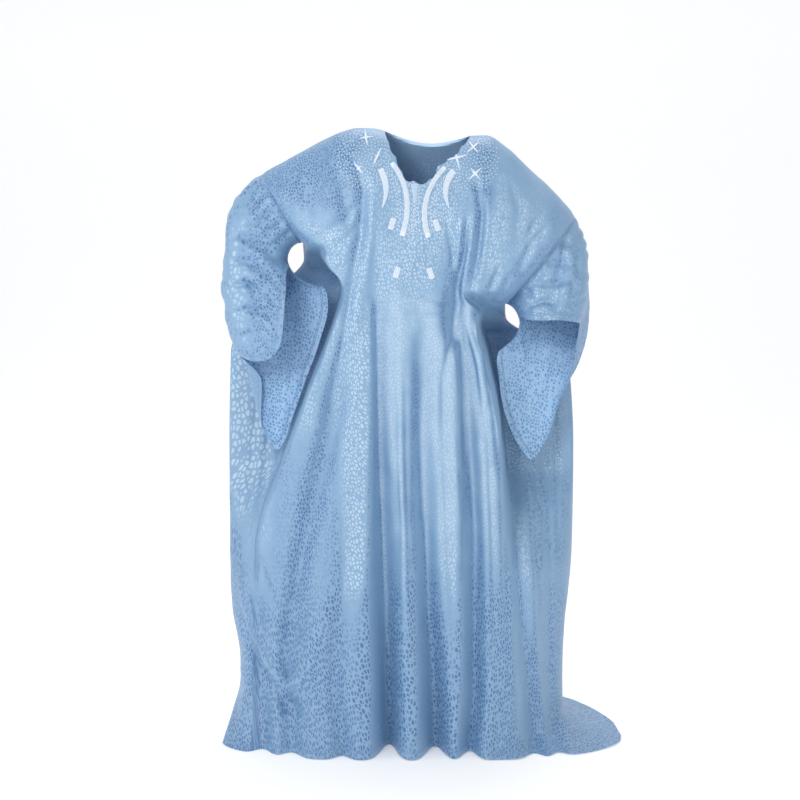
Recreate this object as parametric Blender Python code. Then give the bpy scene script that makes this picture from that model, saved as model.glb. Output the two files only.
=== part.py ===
"""Kaftan dress, cut and sewn as the real one: front, back, two sleeves and neck trims.

Metres, +Z up, +X to the viewer's right, +Y away from the viewer. The origin is on the
shoulder line at the middle of the neck, where the dress is held up, and the floor is
DRESS_LENGTH below it. The dress keeps its hollow worn form, with both sleeves held out
from the sides. Each piece is a closed cloth wall over a grid of points on one shared
middle surface, so the pieces meet edge to edge at their seams.
"""

from typing import NamedTuple

import bpy
import numpy as np
from mathutils import Vector
from mathutils.bvhtree import BVHTree

# Driving sizes
DRESS_LENGTH = 1.44
CLOTH_WALL = 0.002
SEAM_GAP = 0.0003
UNDERARM_EASE = 0.0012
TRIM_WALL = 0.0012
TRIM_LIFT = 0.0005
TRIM_STEP = 0.008
ARMHOLE_DEPTH = 0.095
SHOULDER_ROUNDING = 0.22
NECK_REAR_DEPTH = 0.075
NECK_REAR_DROP = 0.022
HEM_NOTCH_LIFT = 0.026

# Cells along each stretch of the cloth grids
LEFT_SHOULDER_CELLS = 10
FRONT_NECK_CELLS = 26
BACK_NECK_CELLS = 8
RIGHT_SHOULDER_CELLS = 9
ARMHOLE_CELLS = 12
SLEEVE_CELLS = 13
# How far down the skirt each row lies, as a share, closer at the underarm and the floor
SKIRT_ROWS = (
    0.025, 0.06, 0.105, 0.16, 0.22, 0.29, 0.37, 0.45, 0.53,
    0.61, 0.69, 0.77, 0.84, 0.90, 0.945, 0.972, 0.988, 1.0,
)

CLOTH_BLUE = (0.27, 0.48, 0.76, 1.0)
TRIM_WHITE = (0.90, 0.93, 0.97, 1.0)


class EdgePoint(NamedTuple):
    """A point of a cut edge, seen from the front."""

    x: float
    z: float


# The shoulder seams from the armhole to the neck, as worn
LEFT_SHOULDER = (
    EdgePoint(-0.367, -0.097),
    EdgePoint(-0.329, -0.077),
    EdgePoint(-0.273, -0.046),
    EdgePoint(-0.216, -0.016),
    EdgePoint(-0.178, 0.000),
    EdgePoint(-0.141, 0.009),
    EdgePoint(-0.103, 0.008),
    EdgePoint(-0.077, 0.002),
)
RIGHT_SHOULDER = (
    EdgePoint(0.122, -0.009),
    EdgePoint(0.160, -0.008),
    EdgePoint(0.197, -0.028),
    EdgePoint(0.235, -0.060),
    EdgePoint(0.273, -0.096),
    EdgePoint(0.311, -0.131),
    EdgePoint(0.349, -0.171),
    EdgePoint(0.369, -0.196),
)
# The front neckline, a V with a flat foot
FRONT_NECK = (
    EdgePoint(-0.077, 0.002),
    EdgePoint(-0.062, -0.038),
    EdgePoint(-0.046, -0.067),
    EdgePoint(-0.036, -0.092),
    EdgePoint(-0.018, -0.111),
    EdgePoint(0.007, -0.114),
    EdgePoint(0.025, -0.110),
    EdgePoint(0.038, -0.088),
    EdgePoint(0.054, -0.070),
    EdgePoint(0.078, -0.057),
    EdgePoint(0.100, -0.035),
    EdgePoint(0.122, -0.009),
)
SCALLOPS = 9
SCALLOP_HEIGHT = 0.004


class SectionRow(NamedTuple):
    """Half a level section of the body below the armholes."""

    z: float
    x: float
    y: float


# Where each side seam runs, from the underarm to the floor
LEFT_SEAM = (
    SectionRow(-0.257, -0.272, 0.000),
    SectionRow(-0.300, -0.276, 0.055),
    SectionRow(-0.360, -0.330, 0.092),
    SectionRow(-0.440, -0.418, 0.105),
    SectionRow(-0.530, -0.461, 0.105),
    SectionRow(-0.760, -0.466, 0.080),
    SectionRow(-0.980, -0.462, 0.040),
    SectionRow(-1.130, -0.455, 0.010),
    SectionRow(-1.270, -0.434, -0.015),
    SectionRow(-1.330, -0.437, -0.030),
    SectionRow(-1.385, -0.452, -0.055),
    SectionRow(-1.420, -0.462, -0.085),
    SectionRow(-1.440, -0.468, -0.125),
)
RIGHT_SEAM = (
    SectionRow(-0.402, 0.207, 0.000),
    SectionRow(-0.440, 0.212, 0.055),
    SectionRow(-0.500, 0.292, 0.088),
    SectionRow(-0.570, 0.372, 0.095),
    SectionRow(-0.760, 0.382, 0.075),
    SectionRow(-0.980, 0.378, 0.035),
    SectionRow(-1.180, 0.358, 0.000),
    SectionRow(-1.280, 0.353, 0.000),
    SectionRow(-1.380, 0.356, 0.000),
    SectionRow(-1.412, 0.370, -0.010),
    SectionRow(-1.430, 0.420, -0.040),
    SectionRow(-1.438, 0.490, -0.100),
)


class DepthRow(NamedTuple):
    """How far the front and the back stand off, and how wide they round to the seams."""

    z: float
    front: float
    back: float
    rounding: float


BODY_DEPTHS = (
    DepthRow(0.02, 0.115, 0.085, 0.12),
    DepthRow(-0.12, 0.130, 0.115, 0.11),
    DepthRow(-0.25, 0.150, 0.138, 0.09),
    DepthRow(-0.38, 0.165, 0.155, 0.11),
    DepthRow(-0.60, 0.182, 0.178, 0.22),
    DepthRow(-0.95, 0.205, 0.215, 0.28),
    DepthRow(-1.25, 0.235, 0.260, 0.30),
    DepthRow(-1.44, 0.262, 0.290, 0.30),
)
CENTRE_FLATNESS = 0.20


class TurnRow(NamedTuple):
    """How far the front turns back behind a sleeve at a height, as a share of its depth."""

    z: float
    share: float


LEFT_TURN = (
    TurnRow(-0.257, 0.00),
    TurnRow(-0.290, 0.70),
    TurnRow(-0.330, 0.90),
    TurnRow(-0.500, 0.92),
    TurnRow(-0.780, 0.86),
    TurnRow(-0.930, 0.42),
    TurnRow(-1.080, 0.00),
)
RIGHT_TURN = (
    TurnRow(-0.365, 0.00),
    TurnRow(-0.430, 0.60),
    TurnRow(-0.480, 0.90),
    TurnRow(-0.540, 0.92),
    TurnRow(-0.800, 0.86),
    TurnRow(-0.900, 0.42),
    TurnRow(-1.020, 0.00),
)
GUIDE_BLEND = 0.05
GUIDE_HEIGHTS = (-0.26, -0.31, -0.36, -0.44, -0.52, -0.70, -0.98, -1.26, -1.41)


class Guide(NamedTuple):
    """A line that a column of the skirt follows: x at each of GUIDE_HEIGHTS, and its valley."""

    name: str
    cells_before: int
    x: tuple[float, ...]
    width: float
    first_z: float
    upper_depth: float
    hem_depth: float


FRONT_GUIDES = (
    Guide(
        "left_foot", 4, (-0.262, -0.212, -0.188, -0.208, -0.238, -0.304, -0.392, -0.398, -0.396),
        0.020, -1.30, 0.000, 0.000,
    ),
    Guide(
        "left_ridge", 2, (-0.250, -0.194, -0.170, -0.190, -0.220, -0.286, -0.374, -0.372, -0.366),
        0.024, -0.90, 0.016, 0.035,
    ),
    Guide(
        "thigh_left", 4, (-0.185, -0.150, -0.140, -0.150, -0.165, -0.200, -0.270, -0.305, -0.296),
        0.026, -0.40, 0.022, 0.034,
    ),
    Guide(
        "knee_left", 4, (-0.150, -0.122, -0.116, -0.122, -0.128, -0.142, -0.168, -0.190, -0.176),
        0.020, -0.88, 0.008, 0.028,
    ),
    Guide(
        "centre_left", 5, (-0.088, -0.090, -0.090, -0.092, -0.092, -0.090, -0.080, -0.071, -0.068),
        0.026, -0.20, 0.016, 0.105,
    ),
    Guide(
        "centre", 6, (0.008, 0.009, 0.010, 0.011, 0.012, 0.010, 0.020, 0.034, 0.040),
        0.026, -0.33, 0.012, 0.090,
    ),
    Guide(
        "centre_right", 5, (0.085, 0.088, 0.088, 0.086, 0.108, 0.118, 0.131, 0.131, 0.122),
        0.022, -0.16, 0.022, 0.060,
    ),
    Guide(
        "right_ridge", 5, (0.170, 0.165, 0.154, 0.134, 0.155, 0.188, 0.210, 0.236, 0.250),
        0.020, -1.30, 0.000, 0.000,
    ),
    Guide(
        "right_foot", 2, (0.186, 0.183, 0.174, 0.156, 0.176, 0.208, 0.232, 0.256, 0.272),
        0.024, -0.62, 0.016, 0.034,
    ),
    Guide(
        "side_right", 4, (0.196, 0.200, 0.204, 0.205, 0.262, 0.305, 0.312, 0.315, 0.330),
        0.020, -0.70, 0.014, 0.026,
    ),
)
FRONT_LAST_CELLS = 4
BACK_GUIDES = (
    Guide(
        "back_side_left", 5, (-0.20, -0.21, -0.23, -0.26, -0.28, -0.30, -0.33, -0.34, -0.34),
        0.030, -0.20, 0.020, 0.045,
    ),
    Guide(
        "back_left", 4, (-0.11, -0.12, -0.125, -0.13, -0.14, -0.16, -0.19, -0.21, -0.21),
        0.030, -0.10, 0.018, 0.070,
    ),
    Guide(
        "back_centre", 4, (-0.02, -0.02, -0.02, -0.02, -0.02, -0.03, -0.04, -0.04, -0.04),
        0.030, -0.06, 0.018, 0.075,
    ),
    Guide(
        "back_right", 4, (0.07, 0.075, 0.08, 0.085, 0.09, 0.10, 0.12, 0.12, 0.12),
        0.030, -0.10, 0.018, 0.070,
    ),
    Guide(
        "back_side_right", 5, (0.15, 0.155, 0.16, 0.17, 0.20, 0.24, 0.27, 0.27, 0.27),
        0.030, -0.20, 0.020, 0.045,
    ),
)
BACK_LAST_CELLS = 5


class HemRow(NamedTuple):
    """A point of a sleeve hem, by its place across the sleeve and round the underarm."""

    across: float
    angle: float
    radius: float


class SleeveCut(NamedTuple):
    """A wide sleeve, fanned round a point just below the armhole."""

    name: str
    outward: int
    centre_x: float
    centre_z: float
    outer_radii: tuple[float, ...]
    front_hem: tuple[HemRow, ...]
    back_hem: tuple[HemRow, ...]
    outer_y: float
    inner_y: float
    front_depth: float
    back_depth: float


# Angles are from straight up, outward and down, in degrees
RIGHT_ARM_SLEEVE = SleeveCut(
    name="sleeve_right_arm",
    outward=-1,
    centre_x=-0.272,
    centre_z=-0.293,
    outer_radii=(0.229, 0.212, 0.188, 0.209, 0.272),
    front_hem=(
        HemRow(0.00, 145.8, 0.272),
        HemRow(0.10, 154.0, 0.262),
        HemRow(0.25, 163.0, 0.236),
        HemRow(0.45, 167.0, 0.192),
        HemRow(0.65, 164.0, 0.133),
        HemRow(0.85, 152.0, 0.070),
        HemRow(1.00, 122.0, 0.036),
    ),
    back_hem=(
        HemRow(0.00, 145.8, 0.272),
        HemRow(0.10, 160.0, 0.300),
        HemRow(0.20, 166.0, 0.415),
        HemRow(0.30, 171.7, 0.466),
        HemRow(0.40, 173.7, 0.440),
        HemRow(0.50, 175.0, 0.400),
        HemRow(0.62, 180.0, 0.300),
        HemRow(0.74, 192.0, 0.194),
        HemRow(0.84, 207.0, 0.128),
        HemRow(0.92, 215.0, 0.086),
        HemRow(0.97, 170.0, 0.052),
        HemRow(1.00, 122.0, 0.036),
    ),
    outer_y=-0.045,
    inner_y=-0.050,
    front_depth=0.085,
    back_depth=0.040,
)
LEFT_ARM_SLEEVE = SleeveCut(
    name="sleeve_left_arm",
    outward=1,
    centre_x=0.202,
    centre_z=-0.438,
    outer_radii=(0.298, 0.262, 0.226, 0.200, 0.180),
    front_hem=(
        HemRow(0.00, 92.0, 0.180),
        HemRow(0.30, 87.0, 0.128),
        HemRow(0.70, 84.0, 0.068),
        HemRow(1.00, 78.0, 0.036),
    ),
    back_hem=(
        HemRow(0.00, 92.0, 0.180),
        HemRow(0.08, 103.0, 0.182),
        HemRow(0.20, 122.0, 0.198),
        HemRow(0.35, 145.0, 0.240),
        HemRow(0.50, 168.0, 0.348),
        HemRow(0.58, 171.0, 0.325),
        HemRow(0.70, 178.0, 0.233),
        HemRow(0.82, 184.0, 0.140),
        HemRow(0.92, 190.0, 0.080),
        HemRow(0.97, 145.0, 0.050),
        HemRow(1.00, 78.0, 0.036),
    ),
    outer_y=-0.045,
    inner_y=-0.050,
    front_depth=0.085,
    back_depth=0.040,
)


class Trim(NamedTuple):
    """A white embroidered bar laid on the front: x and z of three points, and its widths."""

    name: str
    top: tuple[float, float]
    middle: tuple[float, float]
    foot: tuple[float, float]
    width: float
    top_share: float
    foot_share: float


TRIMS = (
    Trim("bar_long_left", (-0.060, -0.072), (-0.026, -0.147), (-0.036, -0.237), 0.012, 0.9, 1.1),
    Trim("bar_long_right", (0.062, -0.082), (0.019, -0.155), (0.024, -0.240), 0.012, 0.9, 1.1),
    Trim("crescent_left", (-0.086, -0.086), (-0.073, -0.127), (-0.081, -0.172), 0.014, 0.75, 0.12),
    Trim("crescent_right", (0.082, -0.090), (0.064, -0.129), (0.071, -0.174), 0.014, 0.75, 0.12),
    Trim("dash_upper_left", (-0.055, -0.197), (-0.059, -0.210), (-0.063, -0.222), 0.014, 1.0, 1.0),
    Trim("dash_upper_right", (0.039, -0.200), (0.043, -0.213), (0.047, -0.225), 0.014, 1.0, 1.0),
    Trim("dash_lower_left", (-0.044, -0.307), (-0.048, -0.319), (-0.052, -0.331), 0.014, 1.0, 1.0),
    Trim("dash_lower_right", (0.025, -0.309), (0.029, -0.321), (0.033, -0.333), 0.014, 1.0, 1.0),
    Trim("neck_insert", (-0.007, -0.119), (-0.007, -0.143), (-0.007, -0.168), 0.020, 1.0, 0.08),
)


def column(rows: tuple, name: str) -> np.ndarray:
    """Reads one named column of a table of rows."""
    return np.array([getattr(row, name) for row in rows])


def along(value, rows: tuple, key: str, name: str) -> np.ndarray:
    """Interpolates a table's column at a value of its key, whichever way the key runs."""
    keys, values = column(rows, key), column(rows, name)
    if keys[0] > keys[-1]:
        keys, values = keys[::-1], values[::-1]
    return np.interp(value, keys, values)


def smooth_step(value) -> np.ndarray:
    """Rises from 0 to 1 with level ends."""
    share = np.clip(value, 0.0, 1.0)
    return share * share * (3.0 - 2.0 * share)


def neck_line(share: np.ndarray, rear: bool) -> tuple[np.ndarray, np.ndarray]:
    """Gives x and z along the neckline, from the left neck point to the right one."""
    x = FRONT_NECK[0].x + (FRONT_NECK[-1].x - FRONT_NECK[0].x) * share
    if rear:
        ends = FRONT_NECK[0].z + (FRONT_NECK[-1].z - FRONT_NECK[0].z) * share
        return x, ends - NECK_REAR_DROP * np.sin(np.pi * share)
    scallop = SCALLOP_HEIGHT * np.abs(np.sin(np.pi * SCALLOPS * share)) * np.sin(np.pi * share) ** 0.5
    return x, along(x, FRONT_NECK, "x", "z") - scallop


def top_edge(rear: bool) -> tuple[np.ndarray, np.ndarray]:
    """Gives x and z of the panel's top: a shoulder, the neckline and the other shoulder."""
    neck_cells = BACK_NECK_CELLS if rear else FRONT_NECK_CELLS
    left_x = np.linspace(LEFT_SHOULDER[0].x, LEFT_SHOULDER[-1].x, LEFT_SHOULDER_CELLS + 1)
    right_x = np.linspace(RIGHT_SHOULDER[0].x, RIGHT_SHOULDER[-1].x, RIGHT_SHOULDER_CELLS + 1)
    neck_x, neck_z = neck_line(np.linspace(0.0, 1.0, neck_cells + 1), rear)
    x = np.concatenate((left_x, neck_x[1:-1], right_x))
    left_z = along(left_x, LEFT_SHOULDER, "x", "z")
    right_z = along(right_x, RIGHT_SHOULDER, "x", "z")
    return x, np.concatenate((left_z, neck_z[1:-1], right_z))


def ridge_height(x: np.ndarray) -> np.ndarray:
    """Gives the height of the shoulder line, carried on straight across the neck."""
    rows = LEFT_SHOULDER + RIGHT_SHOULDER
    return np.interp(x, column(rows, "x"), column(rows, "z"))


def body_depth(x: np.ndarray, z: np.ndarray, rear: bool) -> np.ndarray:
    """Gives how far the middle of a panel stands off, rounded over at the shoulders."""
    full = along(z, BODY_DEPTHS, "z", "back" if rear else "front")
    drop = np.clip((ridge_height(x) - z) / SHOULDER_ROUNDING, 0.0, 1.0)
    return full * (1.0 - (1.0 - drop) ** 2.2) ** (1.0 / 2.2)


def guide_line(guide: Guide, z: np.ndarray) -> np.ndarray:
    """Gives a guide's x at each height."""
    return np.interp(z, GUIDE_HEIGHTS[::-1], guide.x[::-1])


def fold_depth(guides: tuple, x: np.ndarray, z: np.ndarray) -> np.ndarray:
    """Adds up the valleys of a panel at each point."""
    total = np.zeros_like(x)
    for guide in guides:
        fall = np.clip((guide.first_z - z) / (DRESS_LENGTH + guide.first_z), 0.0, 1.0)
        depth = guide.upper_depth * smooth_step(fall * 4.0)
        depth = depth + (guide.hem_depth - guide.upper_depth) * fall ** 1.5
        total += depth * np.exp(-(((x - guide_line(guide, z)) / guide.width) ** 2))
    return total


def guide_columns(guides: tuple, last_cells: int) -> np.ndarray:
    """Gives the column number of the left seam, each guide and the right seam."""
    return np.cumsum([0] + [guide.cells_before for guide in guides] + [last_cells])


def turn_back(columns: np.ndarray, z: np.ndarray) -> np.ndarray:
    """Gives how far the front turns back behind the sleeves, as a share of its depth."""
    names = [guide.name for guide in FRONT_GUIDES]
    stops = dict(zip(names, guide_columns(FRONT_GUIDES, FRONT_LAST_CELLS)[1:]))
    left_step = (stops["left_ridge"] - columns) / (stops["left_ridge"] - stops["left_foot"])
    right_step = (columns - stops["right_ridge"]) / (stops["right_foot"] - stops["right_ridge"])
    left = along(z, LEFT_TURN, "z", "share") * smooth_step(left_step)
    right = along(z, RIGHT_TURN, "z", "share") * smooth_step(right_step)
    return left + right


def armhole_shares() -> np.ndarray:
    """Gives how far down the armhole each yoke row ends, closest at the shoulder."""
    steps = np.linspace(0.0, 1.0, ARMHOLE_CELLS + 1)
    return 0.35 * (1.0 - np.cos(np.pi * steps)) / 2.0 + 0.65 * steps ** 1.25


def panel_surface(rear: bool) -> np.ndarray:
    """Makes the middle surface of the front or back, rows from the top to the hem.

    Args:
        rear: True for the back panel.

    Returns:
        Points of shape (rows, columns, 3).
    """
    top_x, top_z = top_edge(rear)
    count = len(top_x)
    u = np.linspace(0.0, 1.0, count)
    fall = armhole_shares()[:, None]
    left, right = LEFT_SEAM[0], RIGHT_SEAM[0]
    under_x = left.x + (right.x - left.x) * u
    under_z = left.z + (right.z - left.z) * u
    yoke_x = top_x + (under_x - top_x) * fall
    yoke_z = top_z + (under_z - top_z) * fall
    sign = 1.0 if rear else -1.0
    yoke_edge = sign * ARMHOLE_DEPTH * np.sqrt(4.0 * fall * (1.0 - fall)) * np.ones(count)

    drop = np.array(SKIRT_ROWS)[:, None]
    left_z = left.z + (LEFT_SEAM[-1].z - left.z) * drop
    right_z = right.z + (RIGHT_SEAM[-1].z - right.z) * drop
    left_x, right_x = along(left_z, LEFT_SEAM, "z", "x"), along(right_z, RIGHT_SEAM, "z", "x")
    left_y, right_y = along(left_z, LEFT_SEAM, "z", "y"), along(right_z, RIGHT_SEAM, "z", "y")
    skirt_z = left_z + (right_z - left_z) * u
    guides, last_cells = (BACK_GUIDES, BACK_LAST_CELLS) if rear else (FRONT_GUIDES, FRONT_LAST_CELLS)
    stops = guide_columns(guides, last_cells)
    columns = np.arange(count)
    even_x = left_x + (right_x - left_x) * u
    guided_x = np.empty_like(even_x)
    for row in range(len(drop)):
        heights = skirt_z[row][stops[1:-1]]
        lines = [float(guide_line(guide, height)) for guide, height in zip(guides, heights)]
        guided_x[row] = np.interp(columns, stops, [left_x[row, 0], *lines, right_x[row, 0]])
    weight = smooth_step(drop / GUIDE_BLEND)
    skirt_x = even_x + (guided_x - even_x) * weight
    skirt_edge = left_y + (right_y - left_y) * u

    x = np.concatenate((yoke_x, skirt_x))
    z = np.concatenate((yoke_z, skirt_z))
    edge = np.concatenate((yoke_edge, skirt_edge))
    reach = np.minimum(x - x[:, :1], x[:, -1:] - x)
    rounding = along(z, BODY_DEPTHS, "z", "rounding")
    bulge = (1.0 - (1.0 - np.clip(reach / rounding, 0.0, 1.0)) ** 2.3) ** (1.0 / 2.3)
    across = (2.0 * x - x[:, :1] - x[:, -1:]) / (x[:, -1:] - x[:, :1])
    bulge = bulge * (1.0 - CENTRE_FLATNESS * across ** 2)
    fade = smooth_step(reach / 0.06)
    if rear:
        y = edge * (1.0 - bulge) + body_depth(x, z, True) * bulge
        y -= fold_depth(BACK_GUIDES, x, z) * fade
    else:
        bulge = bulge * (1.0 - turn_back(columns, z))
        y = edge * (1.0 - bulge) - body_depth(x, z, False) * bulge
        valleys = fold_depth(FRONT_GUIDES, x, z) * fade
        y += valleys
        near_hem = smooth_step((z + DRESS_LENGTH + 0.30) / -0.30 + 1.0)
        z = z + HEM_NOTCH_LIFT * np.clip((valleys - 0.045) / 0.05, 0.0, 1.0) * near_hem
    if rear:
        neck = slice(LEFT_SHOULDER_CELLS, LEFT_SHOULDER_CELLS + BACK_NECK_CELLS + 1)
        share = np.linspace(0.0, 1.0, BACK_NECK_CELLS + 1)
        y[0, neck] = NECK_REAR_DEPTH * np.sin(np.pi * share) ** 0.6
    return np.stack((x, y, z), axis=-1)


def sleeve_surface(cut: SleeveCut, ring: np.ndarray) -> np.ndarray:
    """Makes the middle surface of a sleeve as threads fanned from armhole to hem.

    Args:
        cut: the sleeve's sizes.
        ring: the armhole ring that the panels share, of shape (ring points, 3).

    Returns:
        Points of shape (SLEEVE_CELLS + 1, ring points, 3).
    """
    count = len(ring)
    index = np.arange(count)
    front = index <= ARMHOLE_CELLS
    across = armhole_shares()[np.where(front, index, count - index)]
    swell = np.sqrt(4.0 * across * (1.0 - across))
    outward = cut.outward * (ring[:, 0] - cut.centre_x)
    upward = ring[:, 2] - cut.centre_z
    start_angle = np.degrees(np.arctan2(outward, upward))
    start_radius = np.hypot(outward, upward)
    hem = [cut.front_hem if is_front else cut.back_hem for is_front in front]
    end_angle = np.array([along(a, rows, "across", "angle") for a, rows in zip(across, hem)])
    end_radius = np.array([along(a, rows, "across", "radius") for a, rows in zip(across, hem)])

    t = np.linspace(0.0, 1.0, SLEEVE_CELLS + 1)[:, None]
    deep = np.where(front, 0.0, smooth_step(across / 0.3))
    angle = np.radians(start_angle + (end_angle - start_angle) * t ** (1.0 - 0.3 * deep))
    growth = np.where(end_radius > start_radius, t ** (1.0 + 5.0 * deep), t)
    radius = start_radius + (end_radius - start_radius) * growth
    stations = np.linspace(0.0, 1.0, len(cut.outer_radii))
    outer = np.interp(t, stations, np.array(cut.outer_radii))
    straight = cut.outer_radii[0] + (cut.outer_radii[-1] - cut.outer_radii[0]) * t
    radius = radius + (outer - straight) * (1.0 - across)
    depth = np.where(
        front,
        -(ARMHOLE_DEPTH + (cut.front_depth - ARMHOLE_DEPTH) * t),
        ARMHOLE_DEPTH + (cut.back_depth - ARMHOLE_DEPTH) * t,
    )
    middle = (cut.outer_y + (cut.inner_y - cut.outer_y) * across) * t
    puff = 0.006 * np.sin(3.0 * np.pi * across) * np.sin(np.pi * t) * np.where(front, -1.0, 1.0)
    y = middle + (depth + puff) * swell
    x = cut.centre_x + cut.outward * radius * np.sin(angle)
    z = cut.centre_z + radius * np.cos(angle)
    points = np.stack((x, y, z), axis=-1)
    points[0] = ring
    return points


def quad_indices(rows: int, columns: int, closed: bool) -> np.ndarray:
    """Lists the corners of a grid's cells, in one turning sense."""
    last = columns if closed else columns - 1
    j, i = np.meshgrid(np.arange(rows - 1), np.arange(last), indexing="ij")
    next_i = (i + 1) % columns
    corners = (j * columns + i, (j + 1) * columns + i, (j + 1) * columns + next_i, j * columns + next_i)
    return np.stack([c.ravel() for c in corners], axis=-1)


class ClothGrid:
    """A panel's middle surface with the way its cells turn."""

    def __init__(self, name: str, points: np.ndarray, closed: bool, flip: bool) -> None:
        """Keeps the grid and its faces, turned to look outward."""
        self.name = name
        self.points = points
        self.closed = closed
        self.quads = quad_indices(points.shape[0], points.shape[1], closed)
        last = points.shape[1] - 1
        self.underarms = [(0, ARMHOLE_CELLS)] if closed else [(ARMHOLE_CELLS, 0), (ARMHOLE_CELLS, last)]
        if flip:
            self.quads = self.quads[:, ::-1]


def shared_normals(grids: list[ClothGrid]) -> list[np.ndarray]:
    """Averages face normals over every piece that meets at a point."""
    keys, sums = {}, []
    for grid in grids:
        flat = grid.points.reshape(-1, 3)
        corner = flat[grid.quads]
        normal = np.cross(corner[:, 2] - corner[:, 0], corner[:, 3] - corner[:, 1])
        total = np.zeros_like(flat)
        for slot in range(4):
            np.add.at(total, grid.quads[:, slot], normal)
        sums.append(total)
        for point, value in zip(np.round(flat, 6), total):
            key = tuple(point)
            keys[key] = keys.get(key, 0.0) + value
    result = []
    for grid in grids:
        flat = np.round(grid.points.reshape(-1, 3), 6)
        normal = np.array([keys[tuple(point)] for point in flat])
        columns = grid.points.shape[1]
        for row, column in grid.underarms:
            slot = row * columns + column
            normal[slot] = sums[len(result)][slot]
        normal /= np.linalg.norm(normal, axis=1)[:, None]
        result.append(normal.reshape(grid.points.shape))
    return result


def pull_from_seam(points: np.ndarray, normals: np.ndarray, edge: tuple, inner: tuple) -> None:
    """Moves one edge of a grid off its seam line, by half the seam's gap."""
    line, across = points[edge].copy(), points[inner]
    tangent = np.gradient(line, axis=0)
    way = np.cross(normals[edge], tangent)
    way /= np.linalg.norm(way, axis=1)[:, None]
    way *= np.sign(np.sum(way * (across - line), axis=1))[:, None]
    points[edge] = line + way * SEAM_GAP / 2.0


def ease_underarms(grid: ClothGrid, points: np.ndarray) -> None:
    """Draws the corner at each underarm back into its own piece, where four edges meet."""
    for row, column in grid.underarms:
        if grid.closed:
            inner = points[row + 1, column]
        else:
            inner = points[row, column + 1 if column == 0 else column - 1]
        way = inner - points[row, column]
        points[row, column] += way * UNDERARM_EASE / np.linalg.norm(way)


def split_quads(quads: np.ndarray, points: np.ndarray) -> np.ndarray:
    """Cuts each cell along its shorter diagonal, so both sides of a wall match."""
    first, second, third, fourth = (points[quads[:, slot]] for slot in range(4))
    short = np.linalg.norm(first - third, axis=1) <= np.linalg.norm(second - fourth, axis=1)
    low = np.where(short[:, None], quads[:, [0, 1, 2]], quads[:, [0, 1, 3]])
    high = np.where(short[:, None], quads[:, [0, 2, 3]], quads[:, [1, 2, 3]])
    return np.concatenate((low, high))


def closed_wall(quads: np.ndarray, top: np.ndarray, bottom: np.ndarray) -> tuple[np.ndarray, list]:
    """Gives the vertices and triangles of a closed wall between two matching sheets."""
    vertices = np.concatenate((top, bottom))
    count = len(top)
    triangles = split_quads(quads, (top + bottom) / 2.0).tolist()
    faces = [tuple(t) for t in triangles] + [tuple(count + i for i in reversed(t)) for t in triangles]
    edges = {(start, end) for t in triangles for start, end in zip(t, t[1:] + t[:1])}
    for start, end in sorted(edges):
        if (end, start) not in edges:
            faces.append((end, start, count + start))
            faces.append((end, count + start, count + end))
    return vertices, faces


def wall_mesh(grid: ClothGrid, points: np.ndarray, normals: np.ndarray) -> tuple[np.ndarray, list]:
    """Gives the closed cloth wall on both sides of a grid."""
    flat, out = points.reshape(-1, 3), normals.reshape(-1, 3) * CLOTH_WALL / 2.0
    return closed_wall(grid.quads, flat + out, flat - out)


def fabric(name: str, color: tuple, roughness: float) -> bpy.types.Material:
    """Makes a cloth material with the photo's colour."""
    material = bpy.data.materials.new(name)
    material.use_nodes = True
    shader = material.node_tree.nodes["Principled BSDF"]
    shader.inputs["Base Color"].default_value = color
    shader.inputs["Roughness"].default_value = roughness
    shader.inputs["Metallic"].default_value = 0.0
    return material


def add_object(name: str, vertices, faces: list, material: bpy.types.Material) -> bpy.types.Object:
    """Adds a mesh object with one material."""
    mesh = bpy.data.meshes.new(name)
    mesh.from_pydata([tuple(v) for v in vertices], [], faces)
    mesh.update()
    mesh.materials.append(material)
    item = bpy.data.objects.new(name, mesh)
    bpy.context.scene.collection.objects.link(item)
    return item


def trim_mesh(trim: Trim, tree: BVHTree) -> tuple[np.ndarray, list]:
    """Lays a bar on the front's outer points, moved out by its lift and wall."""
    ends = np.array((trim.top, trim.foot))
    bend = 2.0 * np.array(trim.middle) - ends.mean(axis=0)
    length = np.linalg.norm(ends[1] - ends[0])
    cells = max(3, round(length / TRIM_STEP))
    t = np.linspace(0.0, 1.0, cells + 1)[:, None]
    line = (1 - t) ** 2 * ends[0] + 2 * t * (1 - t) * bend + t ** 2 * ends[1]
    way = np.gradient(line, axis=0)
    way /= np.linalg.norm(way, axis=1)[:, None]
    side = np.stack((-way[:, 1], way[:, 0]), axis=-1)
    share = trim.top_share * (1 - t) ** 2 + 2.0 * t * (1 - t) + trim.foot_share * t ** 2
    if trim.name == "neck_insert":
        share = trim.top_share + (trim.foot_share - trim.top_share) * t
    rows = [line + side * share * trim.width * slot for slot in (-0.5, 0.0, 0.5)]
    low, high = [], []
    for x, z in np.concatenate(rows):
        point, normal, _, _ = tree.ray_cast(Vector((x, -1.0, z)), Vector((0.0, 1.0, 0.0)))
        normal = normal if normal.y < 0.0 else -normal
        low.append(tuple(point + normal * TRIM_LIFT))
        high.append(tuple(point + normal * (TRIM_LIFT + TRIM_WALL)))
    return closed_wall(quad_indices(3, cells + 1, False), np.array(high), np.array(low))


def outward_faces(vertices: np.ndarray, faces: list) -> list:
    """Turns a closed mesh's faces so that they look outward."""
    volume = 0.0
    for face in faces:
        first = vertices[face[0]]
        for second, third in zip(face[1:], face[2:]):
            volume += np.dot(first, np.cross(vertices[second], vertices[third]))
    return faces if volume > 0.0 else [tuple(reversed(face)) for face in faces]


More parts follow.
